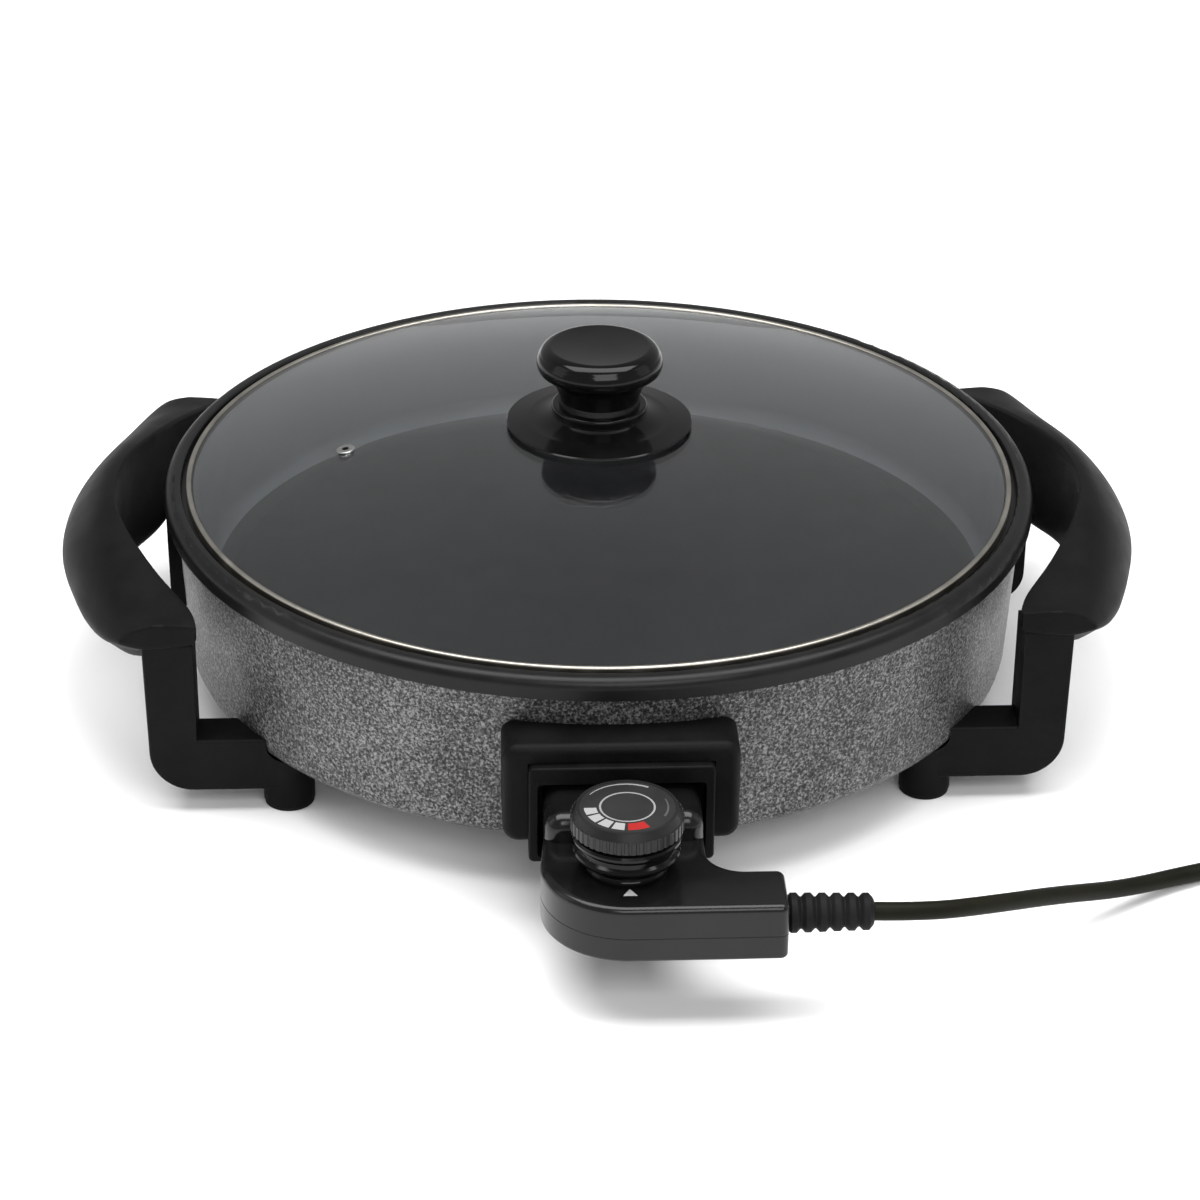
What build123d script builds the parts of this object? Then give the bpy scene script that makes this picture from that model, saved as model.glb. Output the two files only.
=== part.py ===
from build123d import *
import os
from math import acos, atan2, cos, degrees, hypot, pi, radians, sin, sqrt, tan

# Electric griddle pan: a round cast pan on four legs with two side grips, a glass lid and a plug-in
# thermostat with its cord. Millimetres, +Z up, front towards -Y. The origin is on the standing surface,
# midway across the whole pan and thermostat, so the pan's own axis stands PAN_Y behind it.

# Pan
RIM_R = 208.0
RIM_TOP = 115.0
RIM_BOTTOM = 105.0
WALL_TOP_R = 203.0
WALL_LOW_R = 199.0
PAN_BOTTOM = 27.0
FLOOR_TOP = 55.0
FLOOR_T = 5.3
LEDGE_Z = 111.0
LEDGE_R = 200.0
INNER_TOP_R = 193.6
INNER_LOW_R = 190.0
FLOOR_R = 179.0
FLANGE_IN_R = 176.0
WINDOW_LOW = 35.8
WINDOW_TOP = 49.6
# Thermostat
BODY_FRONT = 300.5
BODY_BOTTOM = 33.0
BODY_TOP = 59.0
PARTING_Z = 44.5
LOBE_R = 36.5
ARM_END = 66.0
ARM_DEPTH = 30.0
SHELL_WALL = 2.2
DIAL_Y = -264.0
DIAL_R = 24.0
DIAL_BASE = 77.6
DIAL_SKIRT = 5.6
DIAL_BORE = 6.4
DIAL_TOP = 86.6
SHAFT_R = 3.05
RUNNING_GAP = 0.05
# Heater and its pins
PIN_Z = 46.0
PIN_X = 16.0
PIN_FRONT = 231.0
TUBE_R = 3.4
RING_R = 112.0
RING_BEND = 20.0
PROBE_R = 3.2
PROBE_TIP = 130.0
# Socket
SOCKET_W = 103.0
SOCKET_LOW = 42.4
SOCKET_TOP = 90.5
SOCKET_FRONT = 221.0
LINER_W = 80.6
LINER_LOW = 35.0
LINER_TOP = 82.0
LINER_FRONT = 225.0
CAVITY_W = 73.0
CAVITY_LOW = 37.5
CAVITY_TOP = 74.0
CAVITY_BACK = 208.0
# Legs and grips
LEG_Y = 111.0
LEG_DEPTH = 22.0
LEG_OUT = 211.5
LEG_IN = 189.5
LEG_TOP = 88.5
BAR_LOW = 11.5
BAR_TOP = 38.0
FOOT_X = 148.5
FOOT_R = 11.9
PAD_T = 2.0
TONGUE = 12.0
GRIP_END = 123.0
# Lid
GLASS_R = 195.0
GLASS_EDGE_Z = 115.2
GLASS_TOP = 140.0
GLASS_T = 3.8
VENT_X = -121.0
VENT_Y = -9.0
FLANGE_R = 44.4
COLLAR_R = 22.8
KNOB_BASE = 150.0
KNOB_TOP = 179.5
KNOB_R = 30.0
# Cord
CORD_R = 4.0
COIL_R = 44.0
PLUG_R = 19.0

PAN_Y = (BODY_FRONT - RIM_R) / 2
PAN_AXIS = Axis((0, PAN_Y, 0), (0, 0, 1))
PLATE_T = 1.2
GAP = 0.4

os.makedirs("parts", exist_ok=True)


def level(z, x=0.0, y=0.0):
    """Horizontal plane at height z, centred x and y from the pan's axis."""
    return Plane((x, PAN_Y + y, z))


def upright(y=0.0, x=0.0, z=0.0):
    """Plane facing the front, y from the pan's axis, whose sketch axes are X and Z."""
    return Plane(origin=(x, PAN_Y + y, z), x_dir=(1, 0, 0), z_dir=(0, -1, 0))


def sideways(x, y=0.0, z=0.0):
    """Plane facing right at x, whose sketch axes are Y and Z."""
    return Plane(origin=(x, PAN_Y + y, z), x_dir=(0, 1, 0), z_dir=(1, 0, 0))


def save(builder, name):
    """Labels a finished sub-part and writes its STEP file."""
    builder.part.label = name
    export_step(builder.part, f"parts/{name}.step")


# ---------------------------------------------------------------- pan and heater

with BuildPart() as pan_body:
    with BuildSketch(upright()):
        with BuildLine():
            Polyline((0, FLOOR_TOP - FLOOR_T), (195, FLOOR_TOP - FLOOR_T), (195, 36))
            TangentArc((195, 36), (190, 31), tangent=(0, -1))
            Polyline((190, 31), (FLANGE_IN_R, 31), (FLANGE_IN_R, PAN_BOTTOM), (191, PAN_BOTTOM))
            TangentArc((191, PAN_BOTTOM), (WALL_LOW_R, 35), tangent=(1, 0))
            Polyline((WALL_LOW_R, 35), (WALL_TOP_R, RIM_BOTTOM), (RIM_R, RIM_BOTTOM), (RIM_R, 110))
            TangentArc((RIM_R, 110), (203, RIM_TOP), tangent=(0, 1))
            Line((203, RIM_TOP), (201.3, RIM_TOP))
            TangentArc((201.3, RIM_TOP), (LEDGE_R, 113.7), tangent=(-1, 0))
            Polyline((LEDGE_R, 113.7), (LEDGE_R, LEDGE_Z), (194.4, LEDGE_Z))
            TangentArc((194.4, LEDGE_Z), (INNER_TOP_R, 110.2), tangent=(-1, 0))
            Line((INNER_TOP_R, 110.2), (INNER_LOW_R, 66))
            TangentArc((INNER_LOW_R, 66), (FLOOR_R, FLOOR_TOP), tangent=(INNER_LOW_R - INNER_TOP_R, -44.2))
            Polyline((FLOOR_R, FLOOR_TOP), (0, FLOOR_TOP), (0, FLOOR_TOP - FLOOR_T))
        make_face()
    revolve(axis=PAN_AXIS)
    with BuildSketch(upright(-206)):
        with Locations((0, (WINDOW_LOW + WINDOW_TOP) / 2)):
            RectangleRounded(66, WINDOW_TOP - WINDOW_LOW, 3)
    extrude(amount=-16, mode=Mode.SUBTRACT)
    with BuildSketch(level(PAN_BOTTOM)):
        with GridLocations(2 * FOOT_X, 2 * LEG_Y, 2, 2):
            Circle(2.3)
        with PolarLocations(182, 8, start_angle=22.5):
            Circle(1.7)
    extrude(amount=4, mode=Mode.SUBTRACT)
save(pan_body, "pan_body")

with BuildPart() as base_plate:
    with BuildSketch(level(PAN_BOTTOM - PLATE_T)):
        Circle(188.5)
        with GridLocations(2 * FOOT_X, 2 * LEG_Y, 2, 2):
            Circle(2.3, mode=Mode.SUBTRACT)
        with PolarLocations(182, 8, start_angle=22.5):
            Circle(1.9, mode=Mode.SUBTRACT)
        with PolarLocations(70, 12):
            SlotOverall(34, 5, mode=Mode.SUBTRACT)
        with PolarLocations(140, 18):
            SlotOverall(26, 5, mode=Mode.SUBTRACT)
    extrude(amount=PLATE_T)
save(base_plate, "base_plate")

with BuildPart() as base_screws:
    with BuildSketch(level(PAN_BOTTOM - PLATE_T)):
        with PolarLocations(182, 8, start_angle=22.5):
            Circle(3.4)
    extrude(amount=-1.8)
    with BuildSketch(level(PAN_BOTTOM - PLATE_T)):
        with PolarLocations(182, 8, start_angle=22.5):
            Circle(1.6)
    extrude(amount=7)
save(base_screws, "base_screws")

bend_x = PIN_X + RING_BEND
bend_y = -sqrt((RING_R + RING_BEND) ** 2 - bend_x**2)
bend_turn = degrees(atan2(bend_y, bend_x))
with BuildPart() as heating_element:
    with BuildLine(level(PIN_Z)) as heater_path:
        Line((PIN_X, -PIN_FRONT), (PIN_X, bend_y))
        CenterArc((bend_x, bend_y), RING_BEND, 180, bend_turn)
        CenterArc((0, 0), RING_R, bend_turn, 180 - 2 * bend_turn)
        CenterArc((-bend_x, bend_y), RING_BEND, -bend_turn, bend_turn)
        Line((-PIN_X, bend_y), (-PIN_X, -PIN_FRONT))
    with BuildSketch(upright(-PIN_FRONT, PIN_X, PIN_Z)):
        Circle(TUBE_R)
    sweep(path=heater_path.line)
save(heating_element, "heating_element")

CLIP_T = 1.0
CLIP_DROP = FLOOR_TOP - FLOOR_T - PIN_Z
with BuildPart() as element_clips:
    for angle in (30, 90, 150, 210, 330):
        around = radians(angle)
        foot_plane = Plane(
            origin=(RING_R * cos(around), PAN_Y + RING_R * sin(around), PIN_Z),
            x_dir=(cos(around), sin(around), 0),
            z_dir=(sin(around), -cos(around), 0),
        )
        with BuildSketch(foot_plane):
            Circle(TUBE_R + 0.2 + CLIP_T)
            with Locations((0, CLIP_DROP / 2)):
                Rectangle(2 * (TUBE_R + 0.2 + CLIP_T), CLIP_DROP)
            with Locations((0, CLIP_DROP - CLIP_T / 2)):
                Rectangle(24, CLIP_T)
            Circle(TUBE_R + 0.2, mode=Mode.SUBTRACT)
            with Locations((0, CLIP_DROP)):
                Rectangle(2 * (TUBE_R + 0.2), 2 * CLIP_DROP, mode=Mode.SUBTRACT)
        extrude(amount=4, both=True)
save(element_clips, "element_clips")

with BuildPart() as probe_guide:
    with BuildSketch(upright(-150, 0, PIN_Z)):
        Circle(PROBE_R + 1.5)
        with Locations((0, CLIP_DROP / 2)):
            Rectangle(2 * (PROBE_R + 1.5), CLIP_DROP)
        with Locations((0, CLIP_DROP - CLIP_T / 2)):
            Rectangle(22, CLIP_T)
        Circle(PROBE_R + 0.5, mode=Mode.SUBTRACT)
        with Locations((0, CLIP_DROP)):
            Rectangle(2 * (PROBE_R + 0.5), 2 * CLIP_DROP, mode=Mode.SUBTRACT)
    extrude(amount=30)
save(probe_guide, "probe_guide")

# ---------------------------------------------------------------- socket on the pan's front

with BuildPart() as pan_clearance:
    with BuildSketch(upright()):
        with BuildLine():
            low = PAN_BOTTOM - PLATE_T
            Polyline((0, RIM_BOTTOM), (0, low), (191.5, low))
            TangentArc((191.5, low), (WALL_LOW_R + GAP, 35), tangent=(1, 0))
            Polyline((WALL_LOW_R + GAP, 35), (WALL_TOP_R + GAP, RIM_BOTTOM), (0, RIM_BOTTOM))
        make_face()
    revolve(axis=PAN_AXIS)

with BuildPart() as socket_housing:
    with BuildSketch(upright(-SOCKET_FRONT)):
        with Locations((0, (SOCKET_LOW + SOCKET_TOP) / 2)):
            RectangleRounded(SOCKET_W, SOCKET_TOP - SOCKET_LOW, 7)
    extrude(amount=-30)
    fillet(socket_housing.faces().sort_by(Axis.Y)[0].edges(), 4)
    with BuildSketch(upright(-SOCKET_FRONT - 1)):
        with Locations((0, LINER_TOP / 2)):
            Rectangle(LINER_W + 0.4, LINER_TOP + 0.4)
    extrude(amount=-40, mode=Mode.SUBTRACT)
    add(pan_clearance.part, mode=Mode.SUBTRACT)
save(socket_housing, "socket_housing")

with BuildPart() as socket_liner:
    with BuildSketch(upright(-LINER_FRONT)):
        with Locations((0, (LINER_LOW + LINER_TOP) / 2)):
            RectangleRounded(LINER_W, LINER_TOP - LINER_LOW, 2.5)
    extrude(amount=-24)
    fillet(socket_liner.faces().sort_by(Axis.Y)[0].edges(), 1)
    with BuildSketch(upright(-LINER_FRONT)):
        with Locations((0, (CAVITY_LOW + CAVITY_TOP) / 2)):
            RectangleRounded(CAVITY_W, CAVITY_TOP - CAVITY_LOW, 2)
    extrude(amount=-(LINER_FRONT - CAVITY_BACK), mode=Mode.SUBTRACT)
    with BuildSketch(upright(-LINER_FRONT)):
        with Locations((-PIN_X, PIN_Z), (PIN_X, PIN_Z)):
            Circle(TUBE_R + 0.1)
        with Locations((0, PIN_Z)):
            Circle(PROBE_R + 0.8)
    extrude(amount=-30, mode=Mode.SUBTRACT)
    add(pan_clearance.part, mode=Mode.SUBTRACT)
save(socket_liner, "socket_liner")

with BuildPart() as terminal_bushes:
    with BuildSketch(upright(-CAVITY_BACK)):
        with Locations((-PIN_X, PIN_Z), (PIN_X, PIN_Z)):
            Circle(6.2)
            Circle(TUBE_R + 0.05, mode=Mode.SUBTRACT)
    extrude(amount=3)
save(terminal_bushes, "terminal_bushes")

SOCKET_SCREW_Z = 66.0
with BuildPart() as socket_screws:
    with BuildSketch(upright(-CAVITY_BACK)):
        with Locations((-29, SOCKET_SCREW_Z), (29, SOCKET_SCREW_Z)):
            Circle(3.2)
            RegularPolygon(1.3, 6, mode=Mode.SUBTRACT)
    extrude(amount=2)
save(socket_screws, "socket_screws")

# ---------------------------------------------------------------- legs, feet and side lugs

CORNER_R = 20.0


def make_leg(side, end):
    """One moulded leg: upright, bar under the pan and foot. side is -1 left, end is -1 front."""
    with BuildPart() as leg:
        with BuildSketch(upright(end * LEG_Y + LEG_DEPTH / 2)):
            with BuildLine():
                Polyline(
                    (side * (LEG_OUT - CORNER_R), BAR_LOW),
                    (side * FOOT_X, BAR_LOW),
                    (side * FOOT_X, BAR_TOP),
                    (side * LEG_IN, BAR_TOP),
                    (side * LEG_IN, LEG_TOP),
                    (side * (LEG_OUT + 1), LEG_TOP),
                    (side * LEG_OUT, BAR_LOW + CORNER_R),
                )
                TangentArc(
                    (side * LEG_OUT, BAR_LOW + CORNER_R),
                    (side * (LEG_OUT - CORNER_R), BAR_LOW),
                    tangent=(0, -1),
                )
            make_face()
        extrude(amount=LEG_DEPTH)
        fillet(leg.edges().filter_by(Axis.Y, reverse=True).filter_by(Axis.Z, reverse=True), 1.5)
        with BuildSketch(level(PAD_T, side * FOOT_X, end * LEG_Y)):
            Circle(FOOT_R)
        extrude(amount=BAR_TOP - PAD_T)
        with BuildSketch(level(LEG_TOP, side * 202, end * LEG_Y)):
            RectangleRounded(TONGUE, TONGUE, 1.5)
        extrude(amount=6)
        add(pan_clearance.part, mode=Mode.SUBTRACT)
        with BuildSketch(level(PAD_T, side * FOOT_X, end * LEG_Y)):
            Circle(4.4)
        extrude(amount=12, mode=Mode.SUBTRACT)
        with BuildSketch(level(PAD_T, side * FOOT_X, end * LEG_Y)):
            Circle(2.3)
        extrude(amount=40, mode=Mode.SUBTRACT)
        with BuildSketch(sideways(side * 195, end * LEG_Y, 91.8)):
            Circle(1.3)
        extrude(amount=side * 9, mode=Mode.SUBTRACT)
    return leg


CORNERS = {"front_left": (-1, -1), "front_right": (1, -1), "rear_left": (-1, 1), "rear_right": (1, 1)}
for place, (side, end) in CORNERS.items():
    save(make_leg(side, end), f"leg_{place}")

with BuildPart() as foot_pads:
    with BuildSketch(level(0)):
        with GridLocations(2 * FOOT_X, 2 * LEG_Y, 2, 2):
            Circle(FOOT_R - 0.5)
            Circle(4.6, mode=Mode.SUBTRACT)
    extrude(amount=PAD_T)
save(foot_pads, "foot_pads")

with BuildPart() as foot_screws:
    with BuildSketch(level(PAD_T + 12)):
        with GridLocations(2 * FOOT_X, 2 * LEG_Y, 2, 2):
            Circle(4.0)
            RegularPolygon(1.8, 6, mode=Mode.SUBTRACT)
    extrude(amount=-3)
    with BuildSketch(level(PAD_T + 12)):
        with GridLocations(2 * FOOT_X, 2 * LEG_Y, 2, 2):
            Circle(2.1)
    extrude(amount=22)
    with BuildSketch(level(31)):
        with GridLocations(2 * FOOT_X, 2 * LEG_Y, 2, 2):
            RegularPolygon(4.0, 6)
    extrude(amount=3)
save(foot_screws, "foot_screws")


def make_lug(side):
    """Moulded bumper that hangs under the rim beside each grip."""
    with BuildPart() as lug:
        with BuildSketch(upright(14)):
            with BuildLine():
                Polyline((side * 196, 47), (side * 196, RIM_BOTTOM), (side * 207.4, RIM_BOTTOM), (side * 207, 62))
                TangentArc((side * 207, 62), (side * 196, 47), tangent=(0, -1))
            make_face()
        extrude(amount=28)
        add(pan_clearance.part, mode=Mode.SUBTRACT)
    return lug


save(make_lug(-1), "side_lug_left")
save(make_lug(1), "side_lug_right")

# Grip outlines across the handle, from its middle to its end: the distance along the handle, then the
# corners as (distance from the pan's axis, height), from the inner top edge round the outer lip.
GRIP_SECTIONS = [
    (0, [(232.5, 110), (240, 110), (258, 90), (259.5, 79), (241, 64), (231, 61)]),
    (30, [(229, 110), (238, 110), (256, 90), (257, 79), (237, 60), (227, 57)]),
    (58, [(217.5, 108), (232.5, 107), (248, 91), (248.5, 79.5), (228, 54), (216.5, 51)]),
    (87, [(204.5, 104.5), (224, 104), (239, 94), (239, 83), (217, 63), (203.5, 60)]),
    (111, [(197, 100.5), (214, 101), (229.5, 97), (230, 89.5), (214, 88), (197, 88)]),
    (GRIP_END, [(193.5, 99), (209, 99.5), (221, 97), (221.5, 90.5), (208, 88.2), (193.5, 88.2)]),
]


def make_grip(side):
    """Side grip: one moulded wing that bows outwards between the two legs."""
    stations = [(-y, corners) for y, corners in reversed(GRIP_SECTIONS[1:])] + GRIP_SECTIONS
    with BuildPart() as grip:
        for y, corners in stations:
            with BuildSketch(upright(y)):
                Polygon(*[(side * out, z) for out, z in corners], align=None)
        loft()
        for end in (-1, 1):
            with BuildSketch(level(LEG_TOP, side * 201, end * LEG_Y)):
                Rectangle(25, LEG_DEPTH + 0.4)
            extrude(amount=-50, mode=Mode.SUBTRACT)
            with BuildSketch(level(80, side * 202, end * LEG_Y)):
                Rectangle(TONGUE + 0.4, TONGUE + 0.4)
            extrude(amount=14.7, mode=Mode.SUBTRACT)
            with BuildSketch(sideways(side * 180, end * LEG_Y, 91.8)):
                Circle(1.6)
            extrude(amount=side * 24, mode=Mode.SUBTRACT)
    return grip


save(make_grip(-1), "grip_left")
save(make_grip(1), "grip_right")

with BuildPart() as grip_screws:
    for side in (-1, 1):
        for end in (-1, 1):
            with BuildSketch(sideways(side * 194.2, end * LEG_Y, 91.8)):
                Circle(2.8)
            extrude(amount=side * 1.8)
            with BuildSketch(sideways(side * 195, end * LEG_Y, 91.8)):
                Circle(1.2)
            extrude(amount=side * 8.5)
save(grip_screws, "grip_screws")

# ---------------------------------------------------------------- lid

DOME_R = (GLASS_R**2 + (GLASS_TOP - GLASS_EDGE_Z) ** 2) / (2 * (GLASS_TOP - GLASS_EDGE_Z))


def glass_height(r):
    """Height of the glass's upper face at a distance from its centre."""
    return GLASS_TOP - DOME_R + sqrt(DOME_R**2 - r**2)


with BuildPart() as lid_glass:
    with BuildSketch(upright()):
        with BuildLine():
            mid = GLASS_R / 2
            ThreePointArc((4, glass_height(4)), (mid, glass_height(mid)), (GLASS_R, GLASS_EDGE_Z))
            Line((GLASS_R, GLASS_EDGE_Z), (GLASS_R, GLASS_EDGE_Z - GLASS_T))
            ThreePointArc(
                (GLASS_R, GLASS_EDGE_Z - GLASS_T),
                (mid, glass_height(mid) - GLASS_T),
                (4, glass_height(4) - GLASS_T),
            )
            Line((4, glass_height(4) - GLASS_T), (4, glass_height(4)))
        make_face()
    revolve(axis=PAN_AXIS)
    with BuildSketch(level(GLASS_TOP, VENT_X, VENT_Y)):
        Circle(3.0)
    extrude(amount=-30, mode=Mode.SUBTRACT)
save(lid_glass, "lid_glass")

with BuildPart() as lid_ring:
    with BuildSketch(upright()):
        with BuildLine():
            Polyline((194.6, 115.35), (195.2, 115.25), (195.2, 111.4), (197.2, 111.25))
            ThreePointArc((197.2, 111.25), (198.1, 113.6), (197.2, 115.8))
            ThreePointArc((197.2, 115.8), (195.8, 116.1), (194.6, 115.35))
        make_face()
    revolve(axis=PAN_AXIS)
save(lid_ring, "lid_ring")

vent_r = hypot(VENT_X, VENT_Y)
vent_normal = Vector(VENT_X, VENT_Y, sqrt(DOME_R**2 - vent_r**2)).normalized()
vent_plane = Plane(origin=(VENT_X, PAN_Y + VENT_Y, glass_height(vent_r)), z_dir=vent_normal)
with BuildPart() as vent_eyelet:
    with BuildSketch(vent_plane):
        Circle(4.4)
    extrude(amount=0.9)
    fillet(vent_eyelet.edges(), 0.4)
    with BuildSketch(vent_plane):
        Circle(2.7)
    extrude(amount=-4.6)
    with BuildSketch(vent_plane.offset(2)):
        Circle(1.7)
    extrude(amount=-10, mode=Mode.SUBTRACT)
save(vent_eyelet, "vent_eyelet")

with BuildPart() as flange_gasket:
    with BuildSketch(upright()):
        Polygon((38, 139.1), (42, 138.95), (42, 140.2), (38, 140.2), align=None)
    revolve(axis=PAN_AXIS)
save(flange_gasket, "flange_gasket")

with BuildPart() as knob_flange:
    with BuildSketch(upright()):
        with BuildLine():
            Polyline((3, 140.4), (FLANGE_R - 0.6, 140.2), (FLANGE_R, 140.6), (FLANGE_R - 0.5, 141.1), (34, 142.4))
            ThreePointArc((34, 142.4), (26.5, 143.6), (COLLAR_R, 145))
            Line((COLLAR_R, 145), (COLLAR_R, 148.6))
            TangentArc((COLLAR_R, 148.6), (COLLAR_R - 1.4, KNOB_BASE), tangent=(0, 1))
            Polyline((COLLAR_R - 1.4, KNOB_BASE), (3, KNOB_BASE), (3, 140.4))
        make_face()
    revolve(axis=PAN_AXIS)
save(knob_flange, "knob_flange")

with BuildPart() as knob:
    with BuildSketch(upright()):
        with BuildLine():
            Polyline((0, KNOB_BASE), (19.6, KNOB_BASE), (19.2, 153))
            ThreePointArc((19.2, 153), (22.2, 161.4), (29, 167.6))
            ThreePointArc((29, 167.6), (KNOB_R, 171.6), (28.6, 175.6))
            ThreePointArc((28.6, 175.6), (26.6, 178.2), (23.4, KNOB_TOP))
            TangentArc((0, 178.2), (23.4, KNOB_TOP), tangent=(1, 0))
            Line((0, 178.2), (0, KNOB_BASE))
        make_face()
    revolve(axis=PAN_AXIS)
    with BuildSketch(level(KNOB_BASE)):
        Circle(2.2)
    extrude(amount=15, mode=Mode.SUBTRACT)
save(knob, "knob")

UNDER_GLASS = GLASS_TOP - GLASS_T - 0.1
with BuildPart() as lid_washer:
    with BuildSketch(level(UNDER_GLASS)):
        Circle(10)
        Circle(2.6, mode=Mode.SUBTRACT)
    extrude(amount=-1.5)
save(lid_washer, "lid_washer")

with BuildPart() as lid_screw:
    with BuildSketch(level(UNDER_GLASS - 1.5)):
        Circle(5)
    extrude(amount=-2.6)
    fillet(lid_screw.faces().sort_by(Axis.Z)[0].edges(), 1.2)
    with BuildSketch(level(UNDER_GLASS - 5)):
        RegularPolygon(2.0, 6)
    extrude(amount=2, mode=Mode.SUBTRACT)
    with BuildSketch(level(UNDER_GLASS - 1.5)):
        Circle(2.1)
    extrude(amount=28)
save(lid_screw, "lid_screw")

# ---------------------------------------------------------------- thermostat

LOBE_Y = LOBE_R - BODY_FRONT
NECK_W = 68.0
NECK_BACK = 213.0
NECK_FRONT = 248.0
NECK_LOW = 39.0
NECK_TOP = 71.0
RELIEF_Y = -285.0
CASING_SCREWS = [(-20, -281), (24, -250), (48, -279)]
RELIEF_HOLE = 6.1


ARM_BACK = ARM_DEPTH - BODY_FRONT
ARM_CORNER = 3.6
THROAT_R = 16.0
ROOT_BACK = -236.0

root_reach = hypot(NECK_W / 2, ROOT_BACK - LOBE_Y)
root_turn = degrees(atan2(ROOT_BACK - LOBE_Y, -NECK_W / 2)) + degrees(acos(LOBE_R / root_reach))
lobe_touch = (LOBE_R * cos(radians(root_turn)), LOBE_Y + LOBE_R * sin(radians(root_turn)))
with BuildSketch() as body_plan:
    with BuildLine():
        Line((-NECK_W / 2, ROOT_BACK), lobe_touch)
        CenterArc((0, LOBE_Y), LOBE_R, root_turn, 270 - root_turn)
        Line((0, -BODY_FRONT), (ARM_END - ARM_CORNER, -BODY_FRONT))
        CenterArc((ARM_END - ARM_CORNER, ARM_CORNER - BODY_FRONT), ARM_CORNER, 270, 90)
        Line((ARM_END, ARM_CORNER - BODY_FRONT), (ARM_END, ARM_BACK - ARM_CORNER))
        CenterArc((ARM_END - ARM_CORNER, ARM_BACK - ARM_CORNER), ARM_CORNER, 0, 90)
        Line((ARM_END - ARM_CORNER, ARM_BACK), (NECK_W / 2 + THROAT_R, ARM_BACK))
        CenterArc((NECK_W / 2 + THROAT_R, ARM_BACK + THROAT_R), THROAT_R, 270, -90)
        Line((NECK_W / 2, ARM_BACK + THROAT_R), (NECK_W / 2, ROOT_BACK))
        Line((NECK_W / 2, ROOT_BACK), (-NECK_W / 2, ROOT_BACK))
    make_face()
with BuildSketch() as body_inside:
    add(body_plan.sketch)
    offset(amount=-SHELL_WALL, kind=Kind.INTERSECTION, mode=Mode.REPLACE)


with BuildPart() as shell_lower:
    with BuildSketch(level(BODY_BOTTOM)):
        add(body_plan.sketch)
    extrude(amount=PARTING_Z - BODY_BOTTOM)
    fillet(shell_lower.faces().sort_by(Axis.Z)[0].edges(), 1.6)
    with BuildSketch(level(NECK_LOW, 0, -(NECK_BACK + NECK_FRONT) / 2)):
        Rectangle(NECK_W, NECK_FRONT - NECK_BACK)
    extrude(amount=PARTING_Z - NECK_LOW)
    with BuildSketch(level(BODY_BOTTOM + SHELL_WALL)):
        add(body_inside.sketch)
    extrude(amount=PARTING_Z - BODY_BOTTOM, mode=Mode.SUBTRACT)
    with BuildSketch(level(NECK_LOW + SHELL_WALL, 0, -(NECK_BACK + NECK_FRONT) / 2)):
        Rectangle(NECK_W - 2 * SHELL_WALL, NECK_FRONT - NECK_BACK + 8)
    extrude(amount=PARTING_Z - NECK_LOW, mode=Mode.SUBTRACT)
    with BuildSketch(sideways(ARM_END - 6, RELIEF_Y, PIN_Z)):
        Circle(RELIEF_HOLE)
    extrude(amount=12, mode=Mode.SUBTRACT)
    with BuildSketch(level(BODY_BOTTOM + SHELL_WALL)):
        with Locations(*CASING_SCREWS):
            Circle(3.4)
    extrude(amount=PARTING_Z - BODY_BOTTOM - SHELL_WALL)
    with BuildSketch(level(BODY_BOTTOM)):
        with Locations(*CASING_SCREWS):
            Circle(1.5)
    extrude(amount=20, mode=Mode.SUBTRACT)
save(shell_lower, "shell_lower")

with BuildPart() as shell_upper:
    with BuildSketch(level(PARTING_Z)):
        add(body_plan.sketch)
    extrude(amount=BODY_TOP - PARTING_Z)
    fillet(shell_upper.faces().sort_by(Axis.Z)[-1].edges(), 3.2)
    with BuildSketch(level(PARTING_Z, 0, -(NECK_BACK + NECK_FRONT) / 2)):
        Rectangle(NECK_W, NECK_FRONT - NECK_BACK)
    extrude(amount=NECK_TOP - PARTING_Z)
    neck_roof = shell_upper.faces().sort_by(Axis.Z)[-1]
    fillet(neck_roof.edges().filter_by(Axis.Y), 8)
    fillet(shell_upper.faces().sort_by(Axis.Z)[-1].edges().sort_by(Axis.Y)[0], 7)
    with BuildSketch(level(PARTING_Z)):
        add(body_inside.sketch)
    extrude(amount=BODY_TOP - PARTING_Z - SHELL_WALL, mode=Mode.SUBTRACT)
    with BuildSketch(upright(-NECK_BACK)):
        with Locations((0, (PARTING_Z + NECK_TOP - SHELL_WALL) / 2)):
            Rectangle(NECK_W - 12, NECK_TOP - SHELL_WALL - PARTING_Z)
        with Locations((0, (PARTING_Z + NECK_TOP - 10) / 2)):
            Rectangle(NECK_W - 2 * SHELL_WALL, NECK_TOP - 10 - PARTING_Z)
    extrude(amount=NECK_FRONT - NECK_BACK - 6, mode=Mode.SUBTRACT)
    with BuildSketch(sideways(ARM_END - 6, RELIEF_Y, PIN_Z)):
        Circle(RELIEF_HOLE)
    extrude(amount=12, mode=Mode.SUBTRACT)
    with BuildSketch(level(PARTING_Z, 0, DIAL_Y)):
        Circle(SHAFT_R + 1.5)
    extrude(amount=40, mode=Mode.SUBTRACT)
save(shell_upper, "shell_upper")

with BuildPart() as shell_screws:
    with BuildSketch(level(BODY_BOTTOM + 1.6)):
        with Locations(*CASING_SCREWS):
            Circle(1.4)
    extrude(amount=10)
save(shell_screws, "shell_screws")

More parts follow.
